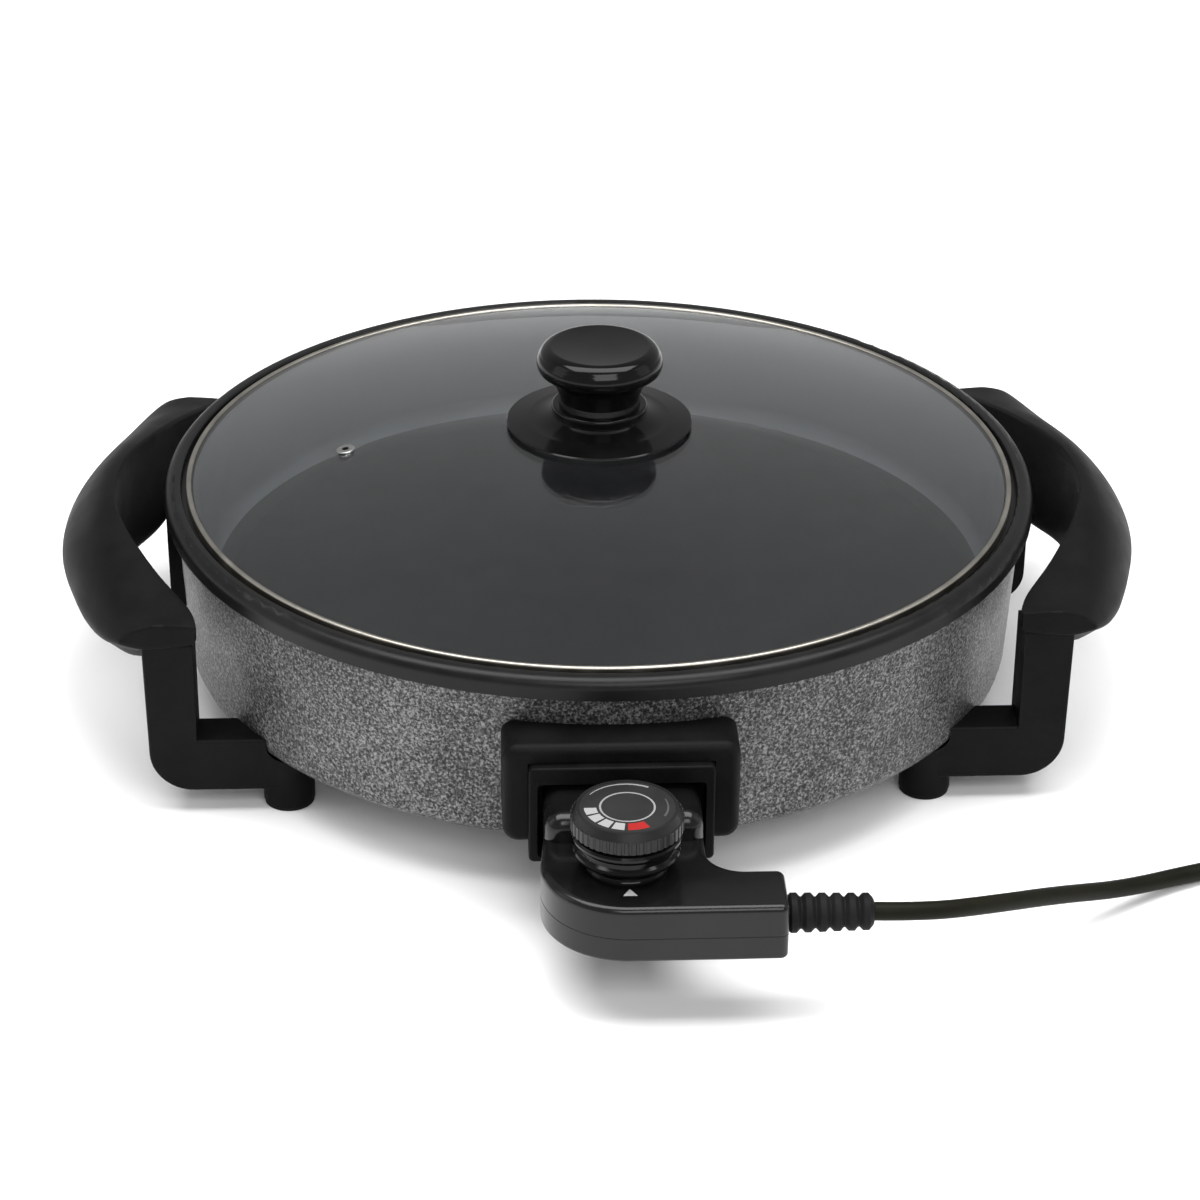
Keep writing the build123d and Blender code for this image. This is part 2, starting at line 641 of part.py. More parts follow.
with BuildPart() as dial_pedestal:
    with BuildSketch(upright(DIAL_Y)):
        with BuildLine():
            Polyline((SHAFT_R + RUNNING_GAP, BODY_TOP), (18.0, BODY_TOP), (17.8, 59.8))
            ThreePointArc((17.8, 59.8), (17.3, 60.6), (17.2, 61.8))
            Polyline((17.2, 61.8), (17.6, 63.4), (21.8, 64.9), (22.6, 65.8), (22.8, 66.8), (22.4, 67.8))
            Polyline((22.4, 67.8), (21.2, 68.8), (21.2, 70.8), (22.6, 72.2), (23.3, 73.2), (23.4, 74.4))
            Polyline((23.4, 74.4), (22.8, 75.4), (21.6, 76.0), (21.6, DIAL_BASE - 0.6))
            Line((21.6, DIAL_BASE - 0.6), (SHAFT_R + RUNNING_GAP, DIAL_BASE - 0.6))
            Line((SHAFT_R + RUNNING_GAP, DIAL_BASE - 0.6), (SHAFT_R + RUNNING_GAP, BODY_TOP))
        make_face()
    revolve(axis=Axis((0, PAN_Y + DIAL_Y, 0), (0, 0, 1)))
    with BuildSketch(level(BODY_TOP, 0, -(NECK_BACK + NECK_FRONT) / 2)):
        Rectangle(NECK_W, NECK_FRONT - NECK_BACK + 0.1)
    extrude(amount=40, mode=Mode.SUBTRACT)
save(dial_pedestal, "dial_pedestal")

GRIP_GROOVES = 48
SHAFT_LOW = 50.0
SHAFT_PIN = 6.0
with BuildPart() as dial:
    with BuildSketch(level(DIAL_BASE, 0, DIAL_Y)):
        Circle(DIAL_R)
        with PolarLocations(DIAL_R + 0.35, GRIP_GROOVES):
            Circle(0.85, mode=Mode.SUBTRACT)
    extrude(amount=DIAL_SKIRT)
    with BuildSketch(level(DIAL_BASE + DIAL_SKIRT, 0, DIAL_Y)):
        Circle(DIAL_R - 0.6)
    extrude(amount=DIAL_TOP - DIAL_BASE - DIAL_SKIRT, taper=28)
    with BuildSketch(level(DIAL_TOP - 0.8, 0, DIAL_Y)):
        Circle(20.4)
    extrude(amount=2, mode=Mode.SUBTRACT)
    with BuildSketch(level(DIAL_BASE, 0, DIAL_Y)):
        Circle(DIAL_R - 2.2)
        Circle(6, mode=Mode.SUBTRACT)
    extrude(amount=DIAL_BORE, mode=Mode.SUBTRACT)
    with BuildSketch(level(DIAL_BASE, 0, DIAL_Y)):
        Circle(SHAFT_R + 0.03)
    extrude(amount=DIAL_BORE, mode=Mode.SUBTRACT)
save(dial, "dial")

with BuildPart() as dial_disc:
    with BuildSketch(level(DIAL_TOP - 0.8, 0, DIAL_Y)):
        Circle(20.3)
    extrude(amount=0.7)
save(dial_disc, "dial_disc")

with BuildPart() as dial_shaft:
    with BuildSketch(level(SHAFT_LOW, 0, DIAL_Y)):
        Circle(SHAFT_R)
    extrude(amount=DIAL_BASE + DIAL_BORE - 0.2 - SHAFT_LOW)
    with BuildSketch(level(SHAFT_LOW, 0, DIAL_Y)):
        Circle(1.8)
    extrude(amount=-SHAFT_PIN)
save(dial_shaft, "dial_shaft")

BOARD_TOP = 39.5
BOARD_Y = -262.0
with BuildPart() as switch_base:
    with BuildSketch(level(BOARD_TOP, 0, BOARD_Y)):
        RectangleRounded(30, 34, 2)
    extrude(amount=-3)
    with BuildSketch(level(BOARD_TOP, -10, BOARD_Y + 13)):
        Rectangle(8, 6)
    extrude(amount=2.2)
save(switch_base, "switch_base")

with BuildPart() as switch_blades:
    with BuildSketch(level(BOARD_TOP + 2.3, -10, BOARD_Y)):
        Rectangle(6, 30)
    extrude(amount=0.5)
    with BuildSketch(level(BOARD_TOP + 3.7, 0, BOARD_Y)):
        Rectangle(6, 24)
    extrude(amount=0.5)
    with BuildSketch(level(BOARD_TOP + 2.8, -6, BOARD_Y - 10)):
        Rectangle(14, 4)
    extrude(amount=0.9)
save(switch_blades, "switch_blades")

CONTACT_R = TUBE_R + 0.1
with BuildPart() as contact_block:
    with BuildSketch(upright(-216)):
        with Locations((0, 46.6)):
            RectangleRounded(58, 8.6, 1)
        with Locations((0, 51)):
            RectangleRounded(52, 12, 2)
        with Locations((-PIN_X, PIN_Z), (PIN_X, PIN_Z)):
            Circle(CONTACT_R + 1.4, mode=Mode.SUBTRACT)
        with Locations((0, PIN_Z)):
            Circle(PROBE_R + 0.1, mode=Mode.SUBTRACT)
    extrude(amount=20)
save(contact_block, "contact_block")

with BuildPart() as contact_sleeves:
    with BuildSketch(upright(-215)):
        with Locations((-PIN_X, PIN_Z), (PIN_X, PIN_Z)):
            Circle(CONTACT_R + 1.2)
            Circle(CONTACT_R, mode=Mode.SUBTRACT)
    extrude(amount=24)
save(contact_sleeves, "contact_sleeves")

with BuildPart() as probe:
    with BuildSketch(upright(-PROBE_TIP, 0, PIN_Z)):
        Circle(PROBE_R)
    extrude(amount=112)
    fillet(probe.faces().sort_by(Axis.Y)[-1].edges(), 2)
save(probe, "probe")

RIBS = 6
RELIEF_LENGTH = 36.5
RELIEF_START = ARM_END + 0.2
with BuildPart() as strain_relief:
    with BuildSketch(Plane(origin=(0, PAN_Y + RELIEF_Y, PIN_Z), x_dir=(1, 0, 0), z_dir=(0, -1, 0))):
        with BuildLine():
            points = [(ARM_END - 5.2, 0), (ARM_END - 5.2, 9.5), (ARM_END - 2.6, 9.5), (ARM_END - 2.6, 5.9)]
            points += [(RELIEF_START, 5.9)]
            pitch = RELIEF_LENGTH / RIBS
            for rib in range(RIBS):
                start = RELIEF_START + rib * pitch
                crest = 8.5 - 0.12 * rib
                points += [(start, crest - 1.6), (start + 0.25 * pitch, crest), (start + 0.65 * pitch, crest)]
                points += [(start + 0.9 * pitch, crest - 1.6)]
            points += [(RELIEF_START + RELIEF_LENGTH, CORD_R + 1.2), (RELIEF_START + RELIEF_LENGTH, 0)]
            Polyline(*points, close=True)
        make_face()
    revolve(axis=Axis((0, PAN_Y + RELIEF_Y, PIN_Z), (1, 0, 0)))
save(strain_relief, "strain_relief")

# ---------------------------------------------------------------- cord

RELIEF_END = RELIEF_START + RELIEF_LENGTH
COIL_X = 335.0
COIL_Y = -88.0
TURN_OUT = 4.5
ROUTE = [
    (RELIEF_END, PAN_Y + RELIEF_Y, PIN_Z),
    (126.0, -237.9, 44.6),
    (156.0, -219.8, 35.8),
    (190.0, -193.2, 22.6),
    (224.0, -168.6, 8.8),
    (262.0, -148.0, 4.0),
    (300.0, -138.0, 4.0),
    (COIL_X, COIL_Y - COIL_R - TURN_OUT, 4.0),
]
TAIL = [
    (COIL_X + COIL_R + TURN_OUT, COIL_Y, 12.5),
    (COIL_X + COIL_R + TURN_OUT, COIL_Y + 22.0, 15.0),
    (COIL_X + COIL_R + TURN_OUT + 1, COIL_Y + 42.0, PLUG_R),
]


def bend_radii(points):
    """The largest tangent arc that fits at each inner point of a route."""
    radii = []
    for before, here, after in zip(points, points[1:], points[2:]):
        first = Vector(*here) - Vector(*before)
        second = Vector(*after) - Vector(*here)
        turn = radians(first.get_angle(second))
        radii.append(0.45 * min(first.length, second.length) / tan(turn / 2))
    return radii


def make_cord(points, name):
    """Round cord along straight runs joined by tangent arcs."""
    radii = bend_radii(points)
    with BuildPart() as cord:
        with BuildLine() as path:
            FilletPolyline(*points, radius=radii)
        with BuildSketch(Plane(origin=points[0], z_dir=Vector(*points[1]) - Vector(*points[0]))):
            Circle(CORD_R)
        sweep(path=path.line)
    length = path.wires()[0].length
    section = pi * CORD_R**2
    print(name, "radii", [round(r) for r in radii], "length", round(length, 1))
    print(name, "volume over section times length", round(cord.part.volume / (section * length), 4))
    return cord


save(make_cord(ROUTE, "cord_tube"), "cord_tube")
save(make_cord(TAIL, "cord_tail"), "cord_tail")

with BuildPart() as cord_coil:
    with BuildSketch(Plane((COIL_X, COIL_Y, 0))):
        Circle(COIL_R + TURN_OUT + CORD_R)
        Circle(COIL_R - TURN_OUT - CORD_R, mode=Mode.SUBTRACT)
    extrude(amount=16.6)
    fillet(cord_coil.edges(), 3)
save(cord_coil, "cord_coil")

plug_x, plug_y, plug_z = TAIL[-1]
plug_axis = Axis((plug_x, plug_y, plug_z), (0, 1, 0))
plug_plane = Plane(origin=(plug_x, plug_y, plug_z), x_dir=(0, 1, 0), z_dir=(1, 0, 0))
with BuildPart() as plug_body:
    with BuildSketch(plug_plane):
        with BuildLine():
            Polyline((0, 0), (0, 5.4), (16, 7.0), (19, 10.5))
            ThreePointArc((19, 10.5), (26, 15), (33, 18))
            Polyline((33, 18), (36, PLUG_R), (50, PLUG_R), (50.5, 17.6), (52, 17.4), (52, 0), (0, 0))
        make_face()
    revolve(axis=plug_axis)
save(plug_body, "plug_body")

with BuildPart() as plug_pins:
    with BuildSketch(Plane(origin=(plug_x, plug_y + 52, plug_z), x_dir=(1, 0, 0), z_dir=(0, 1, 0))):
        with Locations((-9.5, 0), (9.5, 0)):
            Circle(2.4)
    extrude(amount=19)
    fillet(plug_pins.faces().group_by(Axis.Y)[-1].edges(), 1.2)
save(plug_pins, "plug_pins")
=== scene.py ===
import logging
from dataclasses import dataclass
from enum import Enum
from math import cos, radians, sin
from typing import Any, Callable, Iterable, Sequence

import bmesh
import bpy
from mathutils import Matrix, Vector


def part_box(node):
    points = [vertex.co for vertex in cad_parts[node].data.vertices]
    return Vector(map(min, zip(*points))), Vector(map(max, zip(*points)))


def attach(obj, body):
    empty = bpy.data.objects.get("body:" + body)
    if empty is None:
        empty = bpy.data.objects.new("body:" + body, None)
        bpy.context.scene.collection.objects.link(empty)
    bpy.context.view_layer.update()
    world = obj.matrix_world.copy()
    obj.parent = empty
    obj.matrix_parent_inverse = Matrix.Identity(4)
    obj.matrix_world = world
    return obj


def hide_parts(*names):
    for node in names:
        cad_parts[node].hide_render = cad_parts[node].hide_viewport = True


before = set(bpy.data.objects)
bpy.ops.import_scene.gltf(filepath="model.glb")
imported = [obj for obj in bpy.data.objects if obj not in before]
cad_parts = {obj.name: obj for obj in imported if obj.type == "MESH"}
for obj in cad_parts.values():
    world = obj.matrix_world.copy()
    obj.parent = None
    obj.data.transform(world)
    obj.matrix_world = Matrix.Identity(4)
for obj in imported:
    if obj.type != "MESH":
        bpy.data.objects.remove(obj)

LOG = logging.getLogger("griddle")
Colour = tuple[float, float, float, float]
Point = tuple[float, float, float]
MM = 0.001
SAME_POINT = 0.02 * MM


class Body(Enum):
    """The moving bodies that pieces ride on."""

    PAN = "pan"
    LID = "lid"
    THERMOSTAT = "thermostat"
    DIAL = "dial"


class Side(Enum):
    """The left and right of the pan, as the sign of X."""

    LEFT = -1
    RIGHT = 1


def grey(level: float, alpha: float = 1.0) -> Colour:
    """Makes a neutral colour.

    Args:
        level: Linear brightness.
        alpha: Opacity.

    Returns:
        The colour as four numbers.
    """
    return (level, level, level, alpha)


def middle(node: str) -> Vector:
    """Finds the middle of a node's box.

    Args:
        node: Name of the node.

    Returns:
        The middle in the row frame, in metres.
    """
    low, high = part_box(node)
    return (Vector(low) + Vector(high)) / 2


# ------------------------------------------------------------------ shader groups


class Graph:
    """Adds and joins the nodes of one node tree."""

    def __init__(self, tree: bpy.types.NodeTree) -> None:
        """Keeps the tree.

        Args:
            tree: The node tree to fill.
        """
        self.tree = tree

    def add(self, kind: str, inputs: dict[Any, Any] | None = None, **settings: Any) -> bpy.types.Node:
        """Adds a node, sets it and feeds its inputs.

        Args:
            kind: The node's type name.
            inputs: Input name or index, with a value or a socket to link from.
            **settings: Attributes of the node.

        Returns:
            The new node.
        """
        node = self.tree.nodes.new(kind)
        for key, value in settings.items():
            setattr(node, key, value)
        for key, value in (inputs or {}).items():
            if isinstance(value, bpy.types.NodeSocket):
                self.tree.links.new(value, node.inputs[key])
            else:
                node.inputs[key].default_value = value
        return node

    def math(self, operation: str, *values: Any, clamp: bool = False) -> bpy.types.NodeSocket:
        """Adds a math node.

        Args:
            operation: The math operation.
            *values: Numbers or sockets, in order.
            clamp: Whether the result is kept within 0 and 1.

        Returns:
            The result's socket.
        """
        node = self.add("ShaderNodeMath", dict(enumerate(values)), operation=operation, use_clamp=clamp)
        return node.outputs[0]

    def ramp(self, factor: Any, stops: Sequence[tuple[float, Colour]]) -> bpy.types.NodeSocket:
        """Adds a colour ramp.

        Args:
            factor: The socket that drives it.
            stops: Positions and colours.

        Returns:
            The colour socket.
        """
        node = self.add("ShaderNodeValToRGB", {"Fac": factor})
        elements = node.color_ramp.elements
        while len(elements) < len(stops):
            elements.new(1.0)
        for element, (position, colour) in zip(elements, stops):
            element.position = position
            element.color = colour
        return node.outputs["Color"]

    def feed(self, node: bpy.types.Node, sockets: dict[str, Any]) -> None:
        """Links sockets to a node's inputs.

        Args:
            node: The node that is fed.
            sockets: Input name, with the socket to link from.
        """
        for key, socket in sockets.items():
            self.tree.links.new(socket, node.inputs[key])

    def across(self, x: Any, y: Any) -> bpy.types.NodeSocket:
        """Adds the distance of a place from an upright axis.

        Args:
            x: Offset along X.
            y: Offset along Y.

        Returns:
            The distance's socket.
        """
        squares = (self.math("MULTIPLY", side, side) for side in (x, y))
        return self.math("SQRT", self.math("ADD", *squares))

    def mix(self, factor: Any, first: Any, second: Any) -> bpy.types.NodeSocket:
        """Adds a colour mix.

        Args:
            factor: Number or socket, 0 for the first colour and 1 for the second.
            first: Colour or socket.
            second: Colour or socket.

        Returns:
            The mixed colour's socket.
        """
        node = self.add("ShaderNodeMix", {0: factor, 6: first, 7: second}, data_type="RGBA")
        return node.outputs[2]


class Groups:
    """The shader node groups that finishes share.

    Attributes:
        drift: How far the flecks' brightness wanders from place to place.
        drift_scale: How many such places fit in a metre.
        ink_edge: Width of a printed mark's soft edge, in metres.
    """

    drift: float = 0.16
    drift_scale: float = 26.0
    ink_edge: float = 0.00006

    @staticmethod
    def _open(name: str, inputs: Sequence[tuple[str, str, Any]], outputs: Sequence[tuple[str, str]]) -> Any:
        """Opens a new group with its sockets.

        Args:
            name: The group's name.
            inputs: Name, socket type and default of each input.
            outputs: Name and socket type of each output.

        Returns:
            The group, its graph, its input node and its output node.
        """
        group = bpy.data.node_groups.new(name, "ShaderNodeTree")
        for label, kind, default in inputs:
            socket = group.interface.new_socket(label, in_out="INPUT", socket_type=kind)
            if default is not None:
                socket.default_value = default
        for label, kind in outputs:
            group.interface.new_socket(label, in_out="OUTPUT", socket_type=kind)
        graph = Graph(group)
        return group, graph, graph.add("NodeGroupInput"), graph.add("NodeGroupOutput")

    @classmethod
    def get(cls, name: str) -> bpy.types.NodeTree:
        """Finds a shared group, and makes it the first time.

        Args:
            name: Mottle, Speckle, Band or Mark.

        Returns:
            The node group.
        """
        found = bpy.data.node_groups.get(name)
        return found or getattr(cls, name.lower())()

    @classmethod
    def mottle(cls) -> bpy.types.NodeTree:
        """Makes the soft unevenness that any moulded or coated surface has.

        Returns:
            The group, whose outputs are a factor around one half and a fine height.
        """
        inputs = [("Patch", "NodeSocketFloat", 60.0), ("Grain", "NodeSocketFloat", 900.0)]
        outputs = [("Factor", "NodeSocketFloat"), ("Height", "NodeSocketFloat")]
        group, graph, source, result = cls._open("Mottle", inputs, outputs)
        place = graph.add("ShaderNodeTexCoord").outputs["Object"]
        patch, grain = (
            graph.add("ShaderNodeTexNoise", {"Vector": place, "Scale": source.outputs[name], "Detail": detail})
            for name, detail in (("Patch", 4.0), ("Grain", 2.0)))
        graph.feed(result, {"Factor": patch.outputs["Fac"], "Height": grain.outputs["Fac"]})
        return group

    @classmethod
    def speckle(cls) -> bpy.types.NodeTree:
        """Makes the crawling light and dark flecks of hammered enamel.

        Returns:
            The group, whose outputs are a fleck factor and a height.
        """
        inputs = [("Scale", "NodeSocketFloat", 760.0), ("Crawl", "NodeSocketFloat", 0.5)]
        outputs = [("Fleck", "NodeSocketFloat"), ("Height", "NodeSocketFloat")]
        group, graph, source, result = cls._open("Speckle", inputs, outputs)
        place = graph.add("ShaderNodeTexCoord").outputs["Object"]
        worm = graph.add("ShaderNodeTexNoise", {
            "Vector": place, "Scale": source.outputs["Scale"], "Detail": 2.5,
            "Roughness": 0.62, "Distortion": source.outputs["Crawl"]})
        wide = graph.add("ShaderNodeTexNoise", {"Vector": place, "Scale": cls.drift_scale, "Detail": 2.0})
        drift = graph.math("MULTIPLY_ADD", wide.outputs["Fac"], cls.drift, -cls.drift / 2)
        fleck = graph.math("ADD", worm.outputs["Fac"], drift)
        graph.feed(result, {"Fleck": fleck, "Height": worm.outputs["Fac"]})
        return group

    @classmethod
    def band(cls) -> bpy.types.NodeTree:
        """Makes a mask that is one where a value lies between two limits.

        Returns:
            The group.
        """
        inputs = [("Value", "NodeSocketFloat", 0.0), ("From", "NodeSocketFloat", 0.0),
                  ("To", "NodeSocketFloat", 1.0), ("Edge", "NodeSocketFloat", 0.0002)]
        group, graph, source, result = cls._open("Band", inputs, [("Mask", "NodeSocketFloat")])
        rise = graph.math("SUBTRACT", source.outputs["Value"], source.outputs["From"])
        fall = graph.math("SUBTRACT", source.outputs["To"], source.outputs["Value"])
        nearest = graph.math("MINIMUM", rise, fall)
        mask = graph.math("DIVIDE", nearest, source.outputs["Edge"], clamp=True)
        graph.feed(result, {"Mask": mask})
        return group

    @classmethod
    def mark(cls) -> bpy.types.NodeTree:
        """Makes a printed mark that is part of a ring, between two radii and two angles.

        Returns:
            The group.
        """
        inputs = [("Centre", "NodeSocketVector", None), ("Inner", "NodeSocketFloat", 0.01),
                  ("Outer", "NodeSocketFloat", 0.012), ("Start", "NodeSocketFloat", 0.0),
                  ("Span", "NodeSocketFloat", 360.0), ("Taper", "NodeSocketFloat", 0.0)]
        group, graph, source, result = cls._open("Mark", inputs, [("Mask", "NodeSocketFloat")])
        place = graph.add("ShaderNodeTexCoord").outputs["Object"]
        offset = graph.add("ShaderNodeVectorMath", {0: place, 1: source.outputs["Centre"]},
                           operation="SUBTRACT")
        parts = graph.add("ShaderNodeSeparateXYZ", {"Vector": offset.outputs[0]})
        x, y = parts.outputs["X"], parts.outputs["Y"]
        radius = graph.across(x, y)
        turn = graph.math("DEGREES", graph.math("ARCTAN2", y, x))
        along = graph.math("FLOORED_MODULO", graph.math("SUBTRACT", turn, source.outputs["Start"]), 360.0)
        inside = graph.math("LESS_THAN", along, source.outputs["Span"])
        share = graph.math("DIVIDE", along, source.outputs["Span"])
        thinning = graph.math("MULTIPLY", share, source.outputs["Taper"])
        width = graph.math("SUBTRACT", source.outputs["Outer"], source.outputs["Inner"])
        low = graph.math("MULTIPLY_ADD", width, thinning, source.outputs["Inner"])
        ring = graph.add("ShaderNodeGroup", {}, node_tree=cls.get("Band"))
        graph.feed(ring, {"Value": radius, "From": low, "To": source.outputs["Outer"]})
        ring.inputs["Edge"].default_value = cls.ink_edge
        mask = graph.math("MULTIPLY", ring.outputs["Mask"], inside)
        graph.feed(result, {"Mask": mask})
        return group


# ------------------------------------------------------------------ finishes


@dataclass(frozen=True)
class Finish:
    """A plain coated, moulded or metal surface with its own unevenness.

    Attributes:
        name: The material's name.
        dark: Colour of the darker patches.
        light: Colour of the lighter patches.
        smooth: Lowest roughness.
        rough: Highest roughness.
        metallic: How metallic it is.
        coat: Weight of the clear coat.
        patch: How many colour patches fit in a metre.
        grain: How many grains fit in a metre.
        relief: Height of the grain, in metres.
        shine: Strength of the plain reflection.
        coat_rough: Roughness of the clear coat.
        contrast: How strongly the patches part into dark and light.
    """

    name: str
    dark: Colour
    light: Colour
    smooth: float = 0.35
    rough: float = 0.5
    metallic: float = 0.0
    coat: float = 0.0
    patch: float = 60.0
    grain: float = 1400.0
    relief: float = 0.00008
    shine: float = 0.5
    coat_rough: float = 0.12
    contrast: float = 2.2

    def _open(self) -> tuple[bpy.types.Material, Graph, bpy.types.Node]:
        """Makes the empty material.

        Returns:
            The material, its graph and its principled shader.
        """
        material = bpy.data.materials.new(self.name)
        material.use_nodes = True
        graph = Graph(material.node_tree)
        shader = graph.tree.nodes["Principled BSDF"]
        shader.inputs["Metallic"].default_value = self.metallic
        shader.inputs["Coat Weight"].default_value = self.coat
        shader.inputs["Coat Roughness"].default_value = self.coat_rough
        shader.inputs["Specular IOR Level"].default_value = self.shine
        return material, graph, shader

    def _surface(self, graph: Graph) -> tuple[Any, Any, Any]:
        """Adds the uneven colour, roughness and relief.

        Args:
            graph: The material's graph.

        Returns:
            The colour, roughness and height sockets.
        """
        mottle = graph.add("ShaderNodeGroup", {}, node_tree=Groups.get("Mottle"))
        mottle.inputs["Patch"].default_value = self.patch
        mottle.inputs["Grain"].default_value = self.grain
        spread = graph.math("MULTIPLY_ADD", mottle.outputs["Factor"], self.contrast,
                            0.5 - self.contrast / 2, clamp=True)
        colour = graph.mix(spread, self.dark, self.light)
        rough = graph.math("MULTIPLY_ADD", spread, self.rough - self.smooth, self.smooth)
        return colour, rough, mottle.outputs["Height"]

    @staticmethod
    def _join(graph: Graph, shader: bpy.types.Node, surface: tuple[Any, Any, Any], distance: float) -> None:
        """Feeds the shader its colour, its roughness and a normal made from a height.

        Args:
            graph: The material's graph.
            shader: The principled shader.
            surface: The colour, roughness and height sockets.
            distance: How high one unit of height stands, in metres.
        """
        colour, rough, height = surface
        bump = graph.add("ShaderNodeBump", {"Height": height, "Distance": distance, "Strength": 1.0})
        graph.feed(shader, {"Base Color": colour, "Roughness": rough, "Normal": bump.outputs["Normal"]})

    def build(self) -> bpy.types.Material:
        """Makes the material.

        Returns:
            The finished material.
        """
        material, graph, shader = self._open()
        self._join(graph, shader, self._surface(graph), self.relief)
        return material


@dataclass(frozen=True)
class PanFinish(Finish):
    """Hammered enamel outside, black enamel on the rim and a dark cooking surface inside, with painted light
    on the inner wall, which gets a lighter copy of the same coating.

    Attributes:
        axis: The pan's axis on the floor.
        wall_r: Radius beyond which the wall is outside.
        rim_z: Height of the rim's underside.
        under_z: Height below which everything is outside.
        inner_r: Radius within which the coating is inside.
        inner_z: Height above which the coating is inside.
        floor_r: Radius where the cooking surface turns up into the inner wall, and where the painted wall
            light begins.
        inner: Colour of the cooking surface.
        painted_lit_wall: The inner wall's colour: the floor's coating painted lighter, as painted light where
            the wall faces the lamps.
        flecks: The flecks' ramp.
        inner_rough: Roughness added inside.
        outer_smooth: Roughness taken off outside.
        outer_metal: Metallic share outside.
        grain_share: The fine grain's share of the relief.
        hammer: Height of the hammered relief.
    """

    axis: Point = (0.0, 0.0, 0.0)
    wall_r: float = 0.1975
    rim_z: float = 0.1049
    under_z: float = 0.0448
    inner_r: float = 0.1937
    inner_z: float = 0.0545
    floor_r: float = 0.186
    inner: Colour = grey(0.05)
    painted_lit_wall: Colour = grey(0.14)
    flecks: tuple[tuple[float, Colour], ...] = ()
    inner_rough: float = 0.12
    outer_smooth: float = 0.02
    outer_metal: float = 0.35
    grain_share: float = 0.12
    hammer: float = 0.0004

    def build(self) -> bpy.types.Material:
        """Makes the material.

        Returns:
            The finished material.
        """
        material, graph, shader = self._open()
        black, black_rough, height = self._surface(graph)
        place = graph.add("ShaderNodeTexCoord").outputs["Object"]
        offset = graph.add("ShaderNodeVectorMath", {0: place, 1: self.axis}, operation="SUBTRACT")
        parts = graph.add("ShaderNodeSeparateXYZ", {"Vector": offset.outputs[0]})
        x, y, z = (parts.outputs[name] for name in "XYZ")
        radius = graph.across(x, y)
        speckle = graph.add("ShaderNodeGroup", {}, node_tree=Groups.get("Speckle"))
        fleck = graph.ramp(speckle.outputs["Fleck"], self.flecks)
        outside = graph.math("MULTIPLY", graph.math("GREATER_THAN", radius, self.wall_r),
                             graph.math("LESS_THAN", z, self.rim_z))
        under = graph.math("LESS_THAN", z, self.under_z)
        coated = graph.math("MAXIMUM", outside, under)
        inside = graph.math("MULTIPLY", graph.math("LESS_THAN", radius, self.inner_r),
                            graph.math("GREATER_THAN", z, self.inner_z))
        # painted light: beyond floor_r the inside takes painted_lit_wall, a lighter copy of the floor's
        # coating standing in for the light on the wall
        upright = graph.math("GREATER_THAN", radius, self.floor_r)
        colour = graph.mix(inside, black, graph.mix(upright, self.inner, self.painted_lit_wall))
        colour = graph.mix(coated, colour, fleck)
        rough = graph.math("MULTIPLY_ADD", inside, self.inner_rough, black_rough)
        rough = graph.math("MULTIPLY_ADD", coated, -self.outer_smooth, rough)
        metal = graph.math("MULTIPLY", coated, self.outer_metal)
        graph.feed(shader, {"Metallic": metal})
        raised = graph.math("MULTIPLY", coated, speckle.outputs["Height"])
        both = graph.math("MULTIPLY_ADD", height, self.grain_share, raised)
        self._join(graph, shader, (colour, rough, both), self.hammer)
        return material


@dataclass(frozen=True)
class CasingFinish(Finish):
    """Gloss moulding with the dark line where its two halves meet.

    Attributes:
        parting_z: Height of the parting line.
        line: Half the line's width.
        groove: Colour in the line.
        groove_rough: Roughness added in the line.
        groove_depth: The line's depth, in grains of relief.
    """

    parting_z: float = 0.0445
    line: float = 0.00035
    groove: Colour = grey(0.001)
    groove_rough: float = 0.5
    groove_depth: float = 4.0

    def build(self) -> bpy.types.Material:
        """Makes the material.

        Returns:
            The finished material.
        """
        material, graph, shader = self._open()
        colour, rough, height = self._surface(graph)
        place = graph.add("ShaderNodeTexCoord").outputs["Object"]
        z = graph.add("ShaderNodeSeparateXYZ", {"Vector": place}).outputs["Z"]
        seam = graph.add("ShaderNodeGroup", {"Value": z}, node_tree=Groups.get("Band"))
        seam.inputs["From"].default_value = self.parting_z - self.line
        seam.inputs["To"].default_value = self.parting_z + self.line
        colour = graph.mix(seam.outputs["Mask"], colour, self.groove)
        rough = graph.math("MULTIPLY_ADD", seam.outputs["Mask"], self.groove_rough, rough)
        sunk = graph.math("MULTIPLY_ADD", seam.outputs["Mask"], -self.groove_depth, height)
        self._join(graph, shader, (colour, rough, sunk), self.relief)
        return material


@dataclass(frozen=True)
class Print:
    """One printed mark on the dial: radii in metres, angles in degrees from +X, turning left.

    Attributes:
        inner: Inner radius.
        outer: Outer radius.
        start: Angle where it begins.
        span: Angle that it covers.
        colour: Its ink.
        taper: How far it has thinned at its end, from 0 to 1.
    """

    inner: float
    outer: float
    start: float
    span: float
    colour: Colour
    taper: float = 0.0


@dataclass(frozen=True)
class DialFinish(Finish):
    """Satin disc with its printed scale.

    Attributes:
        centre: The disc's centre.
        prints: The marks.
    """

    centre: Point = (0.0, 0.0, 0.0)
    prints: tuple[Print, ...] = ()

    def build(self) -> bpy.types.Material:
        """Makes the material.

        Returns:
            The finished material.
        """
        material, graph, shader = self._open()
        colour, rough, height = self._surface(graph)
        for item in self.prints:
            mark = graph.add("ShaderNodeGroup", {}, node_tree=Groups.get("Mark"))
            mark.inputs["Centre"].default_value = self.centre
            for key, value in (("Inner", item.inner), ("Outer", item.outer), ("Start", item.start),
                               ("Span", item.span), ("Taper", item.taper)):
                mark.inputs[key].default_value = value
            colour = graph.mix(mark.outputs["Mask"], colour, item.colour)
        self._join(graph, shader, (colour, rough, height), self.relief)
        return material


